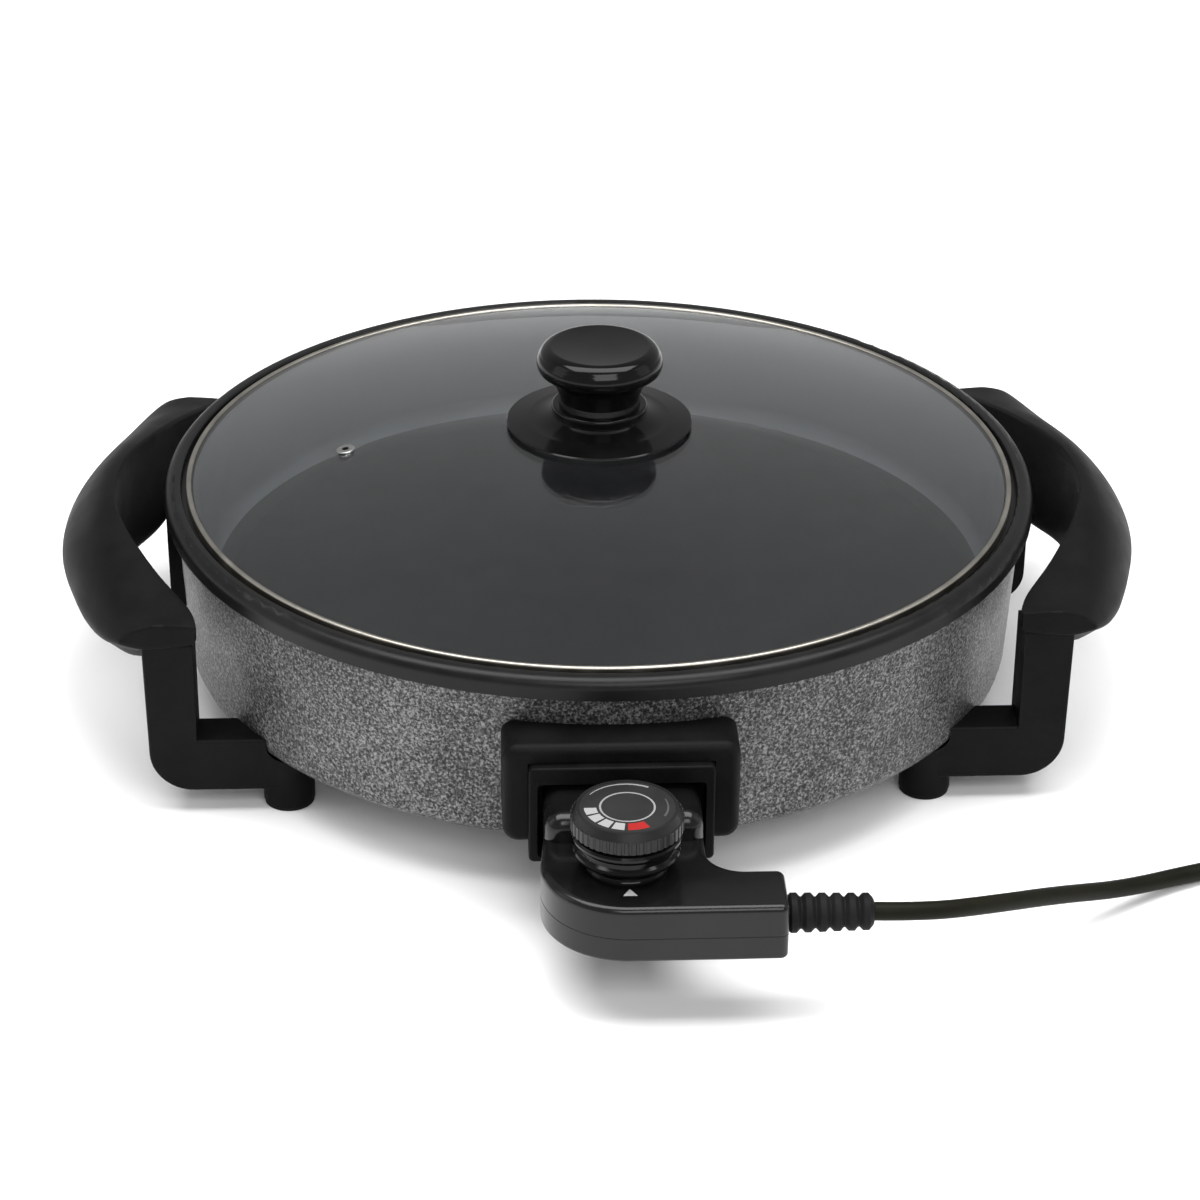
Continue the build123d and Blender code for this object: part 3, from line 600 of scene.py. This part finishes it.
@dataclass(frozen=True)
class GlassFinish(Finish):
    """Clear tempered glass with the faintest waviness.

    Attributes:
        bend: The glass's refractive index.
    """

    bend: float = 1.5

    def build(self) -> bpy.types.Material:
        """Makes the material.

        Returns:
            The finished material.
        """
        material, graph, shader = self._open()
        shader.inputs["Transmission Weight"].default_value = 1.0
        shader.inputs["IOR"].default_value = self.bend
        self._join(graph, shader, self._surface(graph), self.relief)
        return material


class Palette:
    """Builds each finish once and hands it to pieces and nodes."""

    def __init__(self) -> None:
        """Starts with nothing built."""
        self._built: dict[str, bpy.types.Material] = {}

    def material(self, finish: Finish) -> bpy.types.Material:
        """Finds or builds a finish's material.

        Args:
            finish: The finish.

        Returns:
            Its material.
        """
        if finish.name not in self._built:
            self._built[finish.name] = finish.build()
        return self._built[finish.name]

    def dress(self, piece: bpy.types.Object, finish: Finish) -> None:
        """Gives a piece or node one finish all over.

        Args:
            piece: The object.
            finish: The finish.
        """
        material = self.material(finish)
        if not piece.material_slots:
            piece.data.materials.append(material)
        for holder in piece.material_slots:
            holder.material = material

    def dress_nodes(self, names: Iterable[str], finish: Finish) -> None:
        """Gives several CAD nodes one finish.

        Args:
            names: The nodes.
            finish: The finish.
        """
        for name in names:
            self.dress(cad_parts[name], finish)
            LOG.info("dressed %s in %s", name, finish.name)


MOULDING = Finish("moulding_black", grey(0.003), grey(0.006), 0.42, 0.55,
                  grain=1500.0, relief=0.00012, shine=0.07)
SATIN = Finish("satin_black", grey(0.006), grey(0.011), 0.28, 0.38, grain=2200.0, relief=0.00004, shine=0.3)
GLOSS = Finish("gloss_black", grey(0.002), grey(0.004), 0.1, 0.16, grain=500.0, relief=0.00001, shine=0.2)
RUBBER = Finish("rubber_black", grey(0.006), grey(0.012), 0.5, 0.65, grain=1100.0, relief=0.00008, shine=0.08)
CORD_SKIN = Finish("cord_skin", (0.006, 0.006, 0.004, 1), (0.01, 0.01, 0.006, 1), 0.4, 0.5,
                   grain=800.0, relief=0.00006, shine=0.07)
BRIGHT = Finish("rim_steel_bright", (0.30, 0.285, 0.25, 1), (0.40, 0.38, 0.34, 1), 0.3, 0.4, metallic=1.0,
                grain=900.0, relief=0.00001)
PLATED = Finish("plated_steel", (0.42, 0.42, 0.41, 1), (0.58, 0.58, 0.57, 1), 0.22, 0.36, metallic=1.0,
                grain=1200.0, relief=0.00002)
SHEET = Finish("base_sheet", (0.36, 0.36, 0.35, 1), (0.5, 0.5, 0.49, 1), 0.3, 0.48, metallic=1.0,
               patch=20.0, grain=700.0, relief=0.00003)
SHEATH = Finish("heater_sheath", (0.16, 0.14, 0.12, 1), (0.3, 0.27, 0.24, 1), 0.4, 0.6, metallic=1.0,
                patch=140.0, relief=0.00003)
CERAMIC = Finish("ceramic_white", (0.66, 0.64, 0.58, 1), (0.78, 0.76, 0.7, 1), 0.35, 0.5, patch=300.0)
BRASS = Finish("contact_brass", (0.52, 0.36, 0.14, 1), (0.7, 0.5, 0.22, 1), 0.25, 0.4, metallic=1.0,
               patch=300.0)
BOARD = Finish("switch_board", (0.2, 0.1, 0.04, 1), (0.3, 0.16, 0.07, 1), 0.5, 0.65, patch=250.0)
SEAL = Finish("seal_grey", grey(0.07), grey(0.1), 0.6, 0.75, patch=200.0)
WHITE_INK = Finish("pointer_ink", grey(0.3), grey(0.4), 0.4, 0.55, patch=500.0, relief=0.00001)


# ------------------------------------------------------------------ modelling


class Modeller:
    """Shapes one new piece from a primitive by edit-mode operators."""

    def __init__(self, name: str, add: Callable[..., Any], **sizes: Any) -> None:
        """Adds the primitive and enters edit mode.

        Args:
            name: The piece's name.
            add: The primitive's operator.
            **sizes: The operator's settings.
        """
        bpy.ops.object.select_all(action="DESELECT")
        add(**sizes)
        self.piece = bpy.context.active_object
        self.piece.name = name
        self.piece.data.name = name
        bpy.ops.object.transform_apply(location=True, rotation=True, scale=True)
        bpy.ops.object.mode_set(mode="EDIT")

    def points(self, test: Callable[[Vector], bool]) -> None:
        """Selects only the vertices that pass a test.

        Args:
            test: Takes a vertex's place.
        """
        bpy.ops.mesh.select_mode(type="VERT")
        mesh = bmesh.from_edit_mesh(self.piece.data)
        for vertex in mesh.verts:
            vertex.select = test(vertex.co)
        mesh.select_flush_mode()
        bmesh.update_edit_mesh(self.piece.data)

    def edges(self, test: Callable[[Vector, Vector], bool]) -> None:
        """Selects only the edges whose ends pass a test.

        Args:
            test: Takes the places of both ends.
        """
        bpy.ops.mesh.select_mode(type="EDGE")
        mesh = bmesh.from_edit_mesh(self.piece.data)
        for vertex in mesh.verts:
            vertex.select = False
        for edge in mesh.edges:
            edge.select = test(edge.verts[0].co, edge.verts[1].co)
        mesh.select_flush_mode()
        bmesh.update_edit_mesh(self.piece.data)

    def faces(self, test: Callable[[Vector, Vector], bool]) -> None:
        """Selects only the faces that pass a test.

        Args:
            test: Takes a face's middle and its normal.
        """
        bpy.ops.mesh.select_mode(type="FACE")
        mesh = bmesh.from_edit_mesh(self.piece.data)
        mesh.normal_update()
        for face in mesh.faces:
            face.select_set(False)
        for face in mesh.faces:
            if test(face.calc_center_median(), face.normal):
                face.select_set(True)
        bmesh.update_edit_mesh(self.piece.data)

    def shift(self, here: Vector, there: Vector) -> None:
        """Moves the one vertex at a place.

        Args:
            here: Where it is.
            there: Where it goes.
        """
        self.points(lambda spot: (spot - here).length < SAME_POINT)
        bpy.ops.transform.translate(value=there - here)

    def finish(self, smooth: float = 30.0) -> bpy.types.Object:
        """Closes the piece: merged, turned outward and shaded.

        Args:
            smooth: Angle below which edges shade smooth, in degrees.

        Returns:
            The finished piece.
        """
        bpy.ops.mesh.select_all(action="SELECT")
        bpy.ops.mesh.remove_doubles(threshold=0.005 * MM)
        bpy.ops.mesh.normals_make_consistent(inside=False)
        bpy.ops.object.mode_set(mode="OBJECT")
        for modifier in list(self.piece.modifiers):
            bpy.ops.object.modifier_apply(modifier=modifier.name)
        bpy.ops.object.shade_smooth_by_angle(angle=radians(smooth))
        LOG.info("%s: %d faces", self.piece.name, len(self.piece.data.polygons))
        return self.piece

    def subdivide(self, levels: int) -> None:
        """Args:
            levels: How many times it divides.
        """
        surface = self.piece.modifiers.new("Smooth", "SUBSURF")
        surface.levels = levels
        surface.render_levels = levels


# ------------------------------------------------------------------ studio


@dataclass(frozen=True)
class Softbox:
    """One rectangular soft light.

    Attributes:
        name: Its name.
        place: Where it stands, from the target.
        size: Its width and height.
        power: Its power in watts.
    """

    name: str
    place: Point
    size: tuple[float, float]
    power: float


@dataclass(frozen=True)
class Studio:
    """The camera, the pale floor and the soft light.

    Attributes:
        azimuth: Camera's turn round the pan, in degrees.
        elevation: Its height above the horizon, in degrees.
        roll: Its tilt, in degrees.
        distance: Its distance from the target.
        height: The target's height on the pan's axis.
        lens: Focal length in millimetres, for a 36 mm sensor.
        shift: The lens shift.
        lights: The soft lights.
        surround: The surround's brightness, from the horizon up.
        floor_size: The floor's width.
        floor_y: How far behind the origin the floor's middle lies.
        floor_drop: Gap between the feet's plane and the floor.
        floor_tone: The floor's brightness.
    """

    azimuth: float = -2.84
    elevation: float = 27.51
    roll: float = 0.47
    distance: float = 1.7
    height: float = 0.0686
    lens: float = 104.63
    shift: tuple[float, float] = (0.0015, -0.039)
    lights: tuple[Softbox, ...] = (
        Softbox("overhead", (0.0, -0.15, 1.7), (2.6, 1.1), 60.0),
        Softbox("left_side", (-1.7, -0.2, 0.75), (0.8, 1.2), 2.6),
        Softbox("right_side", (1.7, -0.1, 0.75), (0.8, 1.2), 1.8),
        Softbox("front_fill", (0.3, -1.9, 1.5), (1.6, 0.9), 22.0),
    )
    surround: tuple[tuple[float, Colour], ...] = (
        (0.0, grey(0.55)), (0.15, grey(0.46)), (0.45, grey(0.42)), (0.7, grey(0.36)), (1.0, grey(0.36)))
    floor_size: float = 14.0
    floor_y: float = 2.0
    floor_drop: float = 0.0002
    floor_tone: Colour = grey(0.94)

    def target(self) -> Vector:
        """Finds the point that the camera and lights face.

        Returns:
            The point.
        """
        centre = middle("pan_body")
        return Vector((centre.x, centre.y, self.height))

    def place_camera(self) -> None:
        """Adds the camera and makes it the scene's own."""
        turn, rise, tilt = radians(self.azimuth), radians(self.elevation), radians(self.roll)
        back = Vector((sin(turn) * cos(rise), -cos(turn) * cos(rise), sin(rise)))
        right = Vector((cos(turn), sin(turn), 0.0))
        up = back.cross(right)
        across = right * cos(tilt) + up * sin(tilt)
        upward = up * cos(tilt) - right * sin(tilt)
        lens = bpy.data.cameras.new("view")
        lens.lens = self.lens
        lens.sensor_width = 36.0
        lens.shift_x, lens.shift_y = self.shift
        lens.dof.use_dof = False
        lens.clip_start = 0.05
        camera = bpy.data.objects.new("view", lens)
        place = self.target() + back * self.distance
        camera.matrix_world = Matrix.Translation(place) @ Matrix((across, upward, back)).transposed().to_4x4()
        bpy.context.scene.collection.objects.link(camera)
        bpy.context.scene.camera = camera
        LOG.info("camera placed")

    def place_lights(self) -> None:
        """Adds the soft lights and the dim surround."""
        for box in self.lights:
            lamp = bpy.data.lights.new(box.name, "AREA")
            lamp.shape = "RECTANGLE"
            lamp.size, lamp.size_y = box.size
            lamp.energy = box.power
            light = bpy.data.objects.new(box.name, lamp)
            light.location = self.target() + Vector(box.place)
            light.rotation_euler = Vector(box.place).to_track_quat("Z", "Y").to_euler()
            bpy.context.scene.collection.objects.link(light)
        world = bpy.data.worlds.new("surround")
        bpy.context.scene.world = world
        world.use_nodes = True
        graph = Graph(world.node_tree)
        place = graph.add("ShaderNodeTexCoord").outputs["Generated"]
        rise = graph.add("ShaderNodeSeparateXYZ", {"Vector": place}).outputs["Z"]
        graph.tree.links.new(graph.ramp(rise, self.surround), graph.tree.nodes["Background"].inputs["Color"])
        view = bpy.context.scene.view_settings
        view.view_transform = "Standard"
        view.look = "None"
        LOG.info("lights placed")

    def place_floor(self) -> None:
        """Adds the pale floor."""
        bpy.ops.object.select_all(action="DESELECT")
        bpy.ops.mesh.primitive_plane_add(size=self.floor_size, location=(0.0, self.floor_y, -self.floor_drop))
        floor = bpy.context.active_object
        floor.name = "floor"
        material = bpy.data.materials.new("floor_pale")
        material.use_nodes = True
        shader = material.node_tree.nodes["Principled BSDF"]
        shader.inputs["Base Color"].default_value = self.floor_tone
        shader.inputs["Roughness"].default_value = 0.9
        shader.inputs["Specular IOR Level"].default_value = 0.1
        floor.data.materials.append(material)
        LOG.info("floor placed")


# ------------------------------------------------------------------ cord


@dataclass
class Cord:
    """The mains cord: out of the strain relief, down to the floor, away to a tied coil and its plug.

    Attributes:
        palette: The finishes.
        diameter: The cord's thickness.
        length: Its whole length, coil and all; not used.
        route: The points from the strain relief to the coil's first turn.
        tail: The points from the coil's last turn to the plug.
        coil_centre: The coil's centre on the floor.
        turns: Degrees turned, with the radius and height there.
        step: Degrees between the coil's points.
        tie_turn: Where the tie goes round the coil, in degrees.
        tie_r: Distance of the tie's middle from the coil's centre.
        tie_z: Height of the tie's middle.
        tie_size: The tie's width across the strands, along them and up.
        tie_wall: Thickness of the tie's band.
        tie_corner: Radius of the tie's corners.
    """

    palette: Palette
    diameter: float = 0.008
    length: float = 1.2
    route: tuple[Point, ...] = (
        (0.1027, -0.23875, 0.046), (0.126, -0.2379, 0.0446), (0.156, -0.2198, 0.0358),
        (0.190, -0.1932, 0.0226), (0.224, -0.1686, 0.0088), (0.262, -0.148, 0.004),
        (0.300, -0.138, 0.004), (0.335, -0.1365, 0.004))
    tail: tuple[Point, ...] = ((0.3835, -0.088, 0.0125), (0.3835, -0.066, 0.015), (0.3845, -0.046, 0.019))
    coil_centre: tuple[float, float] = (0.335, -0.088)
    turns: tuple[tuple[float, float, float], ...] = (
        (0, 0.0485, 0.004), (300, 0.0485, 0.004), (360, 0.0395, 0.004), (600, 0.0395, 0.004),
        (660, 0.0395, 0.0125), (900, 0.0395, 0.0125), (960, 0.0485, 0.0125), (1170, 0.0485, 0.0125))
    step: int = 18
    tie_turn: float = -24.0
    tie_r: float = 0.044
    tie_z: float = 0.00845
    tie_size: Point = (0.0188, 0.0055, 0.0168)
    tie_wall: float = 0.0007
    tie_corner: float = 0.003

    def _turn(self, angle: float) -> Point:
        """Finds a point of the coil.

        Args:
            angle: Degrees turned since the coil began.

        Returns:
            The point.
        """
        for (start, r0, z0), (end, r1, z1) in zip(self.turns, self.turns[1:]):
            if angle <= end:
                share = (angle - start) / (end - start)
                radius, height = r0 + (r1 - r0) * share, z0 + (z1 - z0) * share
                break
        around = radians(angle - 90.0)
        return (self.coil_centre[0] + radius * cos(around), self.coil_centre[1] + radius * sin(around), height)

    def build(self) -> None:
        """Makes the cord and its tie, and dresses the plug and the strain relief."""
        points = list(self.route)
        angle = self.step
        while angle < self.turns[-1][0]:
            points.append(self._turn(angle))
            angle += self.step
        points += self.tail
        line = bpy.data.curves.new("cord", "CURVE")
        line.dimensions = "3D"
        line.bevel_depth = self.diameter / 2
        line.bevel_resolution = 5
        line.use_fill_caps = True
        line.resolution_u = 8
        spline = line.splines.new("NURBS")
        spline.points.add(len(points) - 1)
        for knot, (x, y, z) in zip(spline.points, points):
            knot.co = (x, y, z, 1.0)
        spline.order_u = 3
        spline.use_endpoint_u = True
        cord = bpy.data.objects.new("cord", line)
        bpy.context.scene.collection.objects.link(cord)
        LOG.info("cord spline length %.4f", spline.calc_length())
        self.palette.dress(cord, CORD_SKIN)
        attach(cord, Body.THERMOSTAT.value)
        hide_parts("cord_tube", "cord_tail", "cord_coil")
        tie = self._tie()
        self.palette.dress_nodes(("plug_body",), RUBBER)
        self.palette.dress_nodes(("plug_pins",), PLATED)
        self.palette.dress_nodes(("strain_relief",), RUBBER)

    def _tie(self) -> bpy.types.Object:
        """Makes the flat band that holds the coil.

        Returns:
            The tie.
        """
        around = radians(self.tie_turn)
        outward = Vector((cos(around), sin(around), 0.0))
        along = Vector((-sin(around), cos(around), 0.0))
        centre = Vector((*self.coil_centre, 0.0)) + outward * self.tie_r + Vector((0, 0, self.tie_z))
        work = Modeller("cord_tie", bpy.ops.mesh.primitive_cube_add, size=1.0, location=centre,
                        rotation=(0.0, 0.0, around), scale=self.tie_size)
        work.faces(lambda spot, normal: abs(normal.dot(along)) > 0.9)
        bpy.ops.mesh.inset(thickness=self.tie_wall, depth=0.0)
        bpy.ops.mesh.bridge_edge_loops()
        shortest = self.tie_size[1] / 2
        work.edges(lambda a, b: (a - b).length > shortest and abs((a - b).normalized().dot(along)) > 0.9)
        bpy.ops.mesh.bevel(offset=self.tie_corner, segments=4, affect="EDGES")
        tie = work.finish()
        self.palette.dress(tie, RUBBER)
        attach(tie, Body.THERMOSTAT.value)
        return tie


# ------------------------------------------------------------------ pan


Corner = tuple[float, float]


@dataclass
class Grips:
    """The two moulded side grips, each a swept bar with a ridge and crisp end lips.

    Attributes:
        palette: The finishes.
        sections: Distance along the grip with six corners, in millimetres: each corner's distance from
            the pan's axis and its height, from the inner top round the outside to the inner bottom.
        crease_front: Sharpness of the front end's lip.
        crease_rear: Sharpness of the rear end.
        crease_ridge: Sharpness of the ridge line.
        crease_body: Sharpness of the other corners.
        levels: Rounds of smoothing.
    """

    palette: Palette
    sections: tuple[tuple[float, tuple[Corner, ...]], ...] = (
        (0, ((232.5, 110), (240, 110), (258, 90), (259.5, 79), (241, 64), (231, 61))),
        (30, ((229, 110), (238, 110), (256, 90), (257, 79), (237, 60), (227, 57))),
        (58, ((217.5, 108), (232.5, 107), (246.5, 92), (250, 79), (229, 54), (216.5, 51))),
        (87, ((204.5, 104.5), (220, 104), (233.5, 95), (242.5, 81.5), (221, 61.5), (203.5, 60))),
        (111, ((188, 100), (208, 101), (222, 97.5), (232, 85), (217, 80), (189, 86))),
        (123, ((187, 98), (205, 99.5), (215.5, 97.5), (223, 90), (211, 86.5), (187, 88.5))),
    )
    crease_front: float = 0.85
    crease_rear: float = 0.35
    crease_ridge: float = 0.85
    crease_body: float = 0.35
    levels: int = 3

    def _ring(self, side: Side, index: int, sign: int) -> list[Vector]:
        """Finds the corners of a section.

        Args:
            side: Left or right.
            index: Which section, counted from the middle.
            sign: Minus one towards the front, one towards the back.

        Returns:
            The six corners.
        """
        axis = middle("pan_body")
        reach, corners = self.sections[index]
        y = axis.y + sign * reach * MM
        return [Vector((axis.x + side.value * out * MM, y, height * MM)) for out, height in corners]

    def build(self) -> None:
        """Makes both grips."""
        for side in Side:
            self._grip(side)

    def _grip(self, side: Side) -> None:
        """Makes one grip.

        Args:
            side: Left or right.
        """
        name = f"side_grip_{side.name.lower()}"
        last = len(self.sections) - 1
        order = [(index, -1) for index in range(last, 0, -1)] + [(index, 1) for index in range(last + 1)]
        rings = [self._ring(side, index, sign) for index, sign in order]
        start = sum(rings[0], Vector()) / len(rings[0])
        work = Modeller(name, bpy.ops.mesh.primitive_circle_add, vertices=6, radius=0.01, fill_type="NGON",
                        location=start, rotation=(radians(90.0), 0.0, 0.0))
        mesh = bmesh.from_edit_mesh(work.piece.data)
        here = self._matched([vertex.co.copy() for vertex in mesh.verts], rings[0])
        for spot, goal in zip(here, rings[0]):
            work.shift(spot, goal)
        for before, after in zip(rings, rings[1:]):
            step = Vector((0.0, after[0].y - before[0].y, 0.0))
            work.points(lambda spot, ring=before: self._on(spot, ring))
            bpy.ops.mesh.extrude_region_move(TRANSFORM_OT_translate={"value": step})
            for spot, goal in zip([corner + step for corner in before], after):
                work.shift(spot, goal)
        self._crease(work, [rings[0]], self.crease_front)
        self._crease(work, [rings[-1]], self.crease_rear)
        self._crease(work, [[ring[0] for ring in rings]], self.crease_ridge)
        self._crease(work, [[ring[corner] for ring in rings] for corner in (3, 4, 5)], self.crease_body)
        work.subdivide(self.levels)
        grip = work.finish(smooth=50.0)
        self.palette.dress(grip, MOULDING)
        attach(grip, Body.PAN.value)
        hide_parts(f"grip_{side.name.lower()}")

    @staticmethod
    def _on(spot: Vector, line: Sequence[Vector]) -> bool:
        """Tells whether a place is one of a line's points.

        Args:
            spot: The place.
            line: The line's points.

        Returns:
            Whether one of the points is there.
        """
        return min((spot - point).length for point in line) < SAME_POINT

    def _crease(self, work: Modeller, lines: Sequence[Sequence[Vector]], amount: float) -> None:
        """Sharpens the edges that join neighbouring points of some lines.

        Args:
            work: The grip being modelled.
            lines: The lines, each a list of points.
            amount: The crease.
        """
        work.edges(lambda a, b: any(self._on(a, line) and self._on(b, line) for line in lines))
        bpy.ops.transform.edge_crease(value=amount)

    @staticmethod
    def _matched(spots: list[Vector], goals: list[Vector]) -> list[Vector]:
        """Orders a circle's points like a section's corners, both taken round the same way.

        Args:
            spots: The circle's points.
            goals: The section's corners.

        Returns:
            The points in the corners' order.
        """
        centre = sum(spots, Vector()) / len(spots)
        heart = sum(goals, Vector()) / len(goals)

        def bearing(offset: Vector) -> float:
            """Gives the turn of an offset in the upright plane.

            Args:
                offset: The offset.

            Returns:
                The turn, in radians.
            """
            return Vector((1.0, 0.0)).angle_signed(Vector((offset.x, offset.z)))

        ring = sorted(spots, key=lambda spot: bearing(spot - centre))
        order = sorted(range(len(goals)), key=lambda index: bearing(goals[index] - heart))
        placed: list[Vector] = [Vector()] * len(goals)
        for spot, index in zip(ring, order):
            placed[index] = spot
        return placed


@dataclass
class Pan:
    """The cast pan with its base, heater, socket, legs and feet.

    Attributes:
        palette: The finishes.
    """

    palette: Palette

    def build(self) -> None:
        """Dresses the pan's nodes."""
        centre = middle("pan_body")
        flecks = ((0.38, grey(0.018)), (0.47, grey(0.052)), (0.54, grey(0.105)), (0.66, grey(0.24)))
        # painted light: painted_lit_wall is the cooking surface's coating painted lighter on the inner wall
        body = PanFinish("hammered_enamel", grey(0.003), grey(0.006), 0.3, 0.4, axis=(centre.x, centre.y, 0.0),
                         inner=grey(0.009), painted_lit_wall=(0.105, 0.112, 0.113, 1.0), flecks=flecks, shine=0.2)
        dress = self.palette.dress_nodes
        dress(("pan_body",), body)
        dress(("socket_housing", "socket_liner", "leg_front_left", "leg_front_right", "leg_rear_left",
               "leg_rear_right", "side_lug_left", "side_lug_right"), MOULDING)
        dress(("foot_pads",), RUBBER)
        dress(("base_screws", "socket_screws", "foot_screws", "probe_guide"), PLATED)
        dress(("grip_screws",), SATIN)
        dress(("base_plate", "element_clips"), SHEET)
        dress(("heating_element",), SHEATH)
        dress(("terminal_bushes",), CERAMIC)


@dataclass
class Lid:
    """The glass lid with its bright ring, vent and knob.

    Attributes:
        palette: The finishes.
        ring_r: Radius of the ring's middle line.
        ring_width: Half the ring's width.
        seat: Gap between the bead's flat underside and the old ring's foot.
        crown: How much the bead's top is flattened.
    """

    palette: Palette
    ring_r: float = 0.1963
    ring_width: float = 0.0013
    seat: float = 0.0002
    crown: float = 0.75

    def build(self) -> None:
        """Dresses the lid's nodes."""
        dress = self.palette.dress_nodes
        glass = GlassFinish("lid_glass_clear", (0.80, 0.83, 0.85, 1), (0.86, 0.88, 0.9, 1), 0.0, 0.01,
                            patch=8.0, grain=9.0, relief=0.00006)
        dress(("lid_glass",), glass)
        self._ring()
        dress(("vent_eyelet", "lid_washer", "lid_screw"), PLATED)
        dress(("flange_gasket",), SEAL)
        dress(("knob_flange", "knob"), GLOSS)

    def _ring(self) -> None:
        """Makes the rolled steel bead round the glass, flat underneath and crowned on top."""
        centre, (low, high) = middle("lid_ring"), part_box("lid_ring")
        bead = high[2] - self.ring_width
        work = Modeller("rim_bead", bpy.ops.mesh.primitive_torus_add, major_segments=256, minor_segments=14,
                        major_radius=self.ring_r, minor_radius=self.ring_width,
                        location=(centre.x, centre.y, bead))
        floor = low[2] + self.seat
        work.points(lambda spot: spot.z < bead - 0.4 * self.ring_width)
        bpy.ops.transform.resize(value=(1.0, 1.0, 0.0), center_override=(centre.x, centre.y, floor))
        work.points(lambda spot: spot.z > bead + 0.2 * self.ring_width)
        bpy.ops.transform.resize(value=(1.0, 1.0, self.crown), center_override=(centre.x, centre.y, bead))
        ring = work.finish(smooth=60.0)
        self.palette.dress(ring, BRIGHT)
        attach(ring, Body.LID.value)
        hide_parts("lid_ring")


@dataclass
class Thermostat:
    """The plug-in thermostat with its dial.

    Attributes:
        palette: The finishes.
        pointer_x: The pointer's place across the casing.
        pointer_y: The pointer's distance in front of the dial's centre.
        pointer: Half its width, and its length.
        print_gap: Height of the print's underside above the casing.
        print_depth: The print's thickness.
        ink: The scale's grey.
        red: The scale's hot end.
    """

    palette: Palette
    pointer_x: float = 0.0002
    pointer_y: float = -0.0232
    pointer: tuple[float, float] = (0.003, 0.0052)
    print_gap: float = 0.00002
    print_depth: float = 0.00012
    ink: Colour = grey(0.24)
    red: Colour = (0.3, 0.006, 0.005, 1.0)

    def build(self) -> None:
        """Dresses the nodes and adds the pointer."""
        dress = self.palette.dress_nodes
        casing = CasingFinish("casing_gloss", grey(0.004), grey(0.007), 0.16, 0.24, grain=700.0,
                              relief=0.00002, shine=0.3)
        dress(("shell_lower", "shell_upper"), casing)
        dress(("dial_pedestal",), GLOSS)
        dress(("dial",), SATIN)
        dress(("dial_disc",), self._face())
        dress(("dial_shaft", "shell_screws", "probe"), PLATED)
        dress(("switch_base",), BOARD)
        dress(("switch_blades", "contact_sleeves"), BRASS)
        dress(("contact_block",), CERAMIC)
        self._pointer()

    def _face(self) -> DialFinish:
        """Lays out the dial's printed scale.

        Returns:
            The disc's finish.
        """
        centre = middle("dial_disc")
        marks = [Print(0.0110, 0.0119, 0.0, 360.0, self.ink)]
        marks += [Print(0.0130, 0.0183, 181.0 + 21.5 * index, 17.5, grey(0.3)) for index in range(4)]
        marks.append(Print(0.0130, 0.0183, 268.0, 30.0, self.red))
        marks.append(Print(0.0176, 0.0187, 58.0, 88.0, self.ink, 0.6))
        marks.append(Print(0.0165, 0.0175, -27.0, 47.0, grey(0.06), 0.4))
        return DialFinish("dial_face", grey(0.008), grey(0.013), 0.32, 0.42, centre=tuple(centre),
                          prints=tuple(marks), grain=2600.0, relief=0.00003)

    def _pointer(self) -> None:
        """Makes the printed triangle that the dial is read against."""
        centre = middle("dial_disc")
        half, length = self.pointer
        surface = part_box("dial_pedestal")[0][2]
        place = Vector((self.pointer_x, centre.y + self.pointer_y, surface + self.print_gap))
        work = Modeller("pointer_mark", bpy.ops.mesh.primitive_circle_add, vertices=3, radius=0.003,
                        fill_type="NGON", location=place)
        mesh = bmesh.from_edit_mesh(work.piece.data)
        spots = sorted((vertex.co.copy() for vertex in mesh.verts), key=lambda spot: -spot.y)
        base = sorted(spots[1:], key=lambda spot: spot.x)
        goals = (place + Vector((0, length / 2, 0)), place + Vector((-half, -length / 2, 0)),
                 place + Vector((half, -length / 2, 0)))
        for here, there in zip((spots[0], *base), goals):
            work.shift(here, there)
        bpy.ops.mesh.select_all(action="SELECT")
        bpy.ops.mesh.extrude_region_move(TRANSFORM_OT_translate={"value": Vector((0, 0, self.print_depth))})
        pointer = work.finish()
        self.palette.dress(pointer, WHITE_INK)
        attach(pointer, Body.THERMOSTAT.value)
        LOG.info("pointer placed")


def main() -> None:
    """Builds the scene in order."""
    logging.basicConfig(level=logging.INFO, format="%(message)s")
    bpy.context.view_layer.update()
    palette = Palette()
    studio = Studio()
    studio.place_camera()
    Cord(palette).build()
    studio.place_floor()
    studio.place_lights()
    for part in (Pan(palette), Grips(palette), Lid(palette), Thermostat(palette)):
        part.build()


if __name__ == "__main__":
    main()
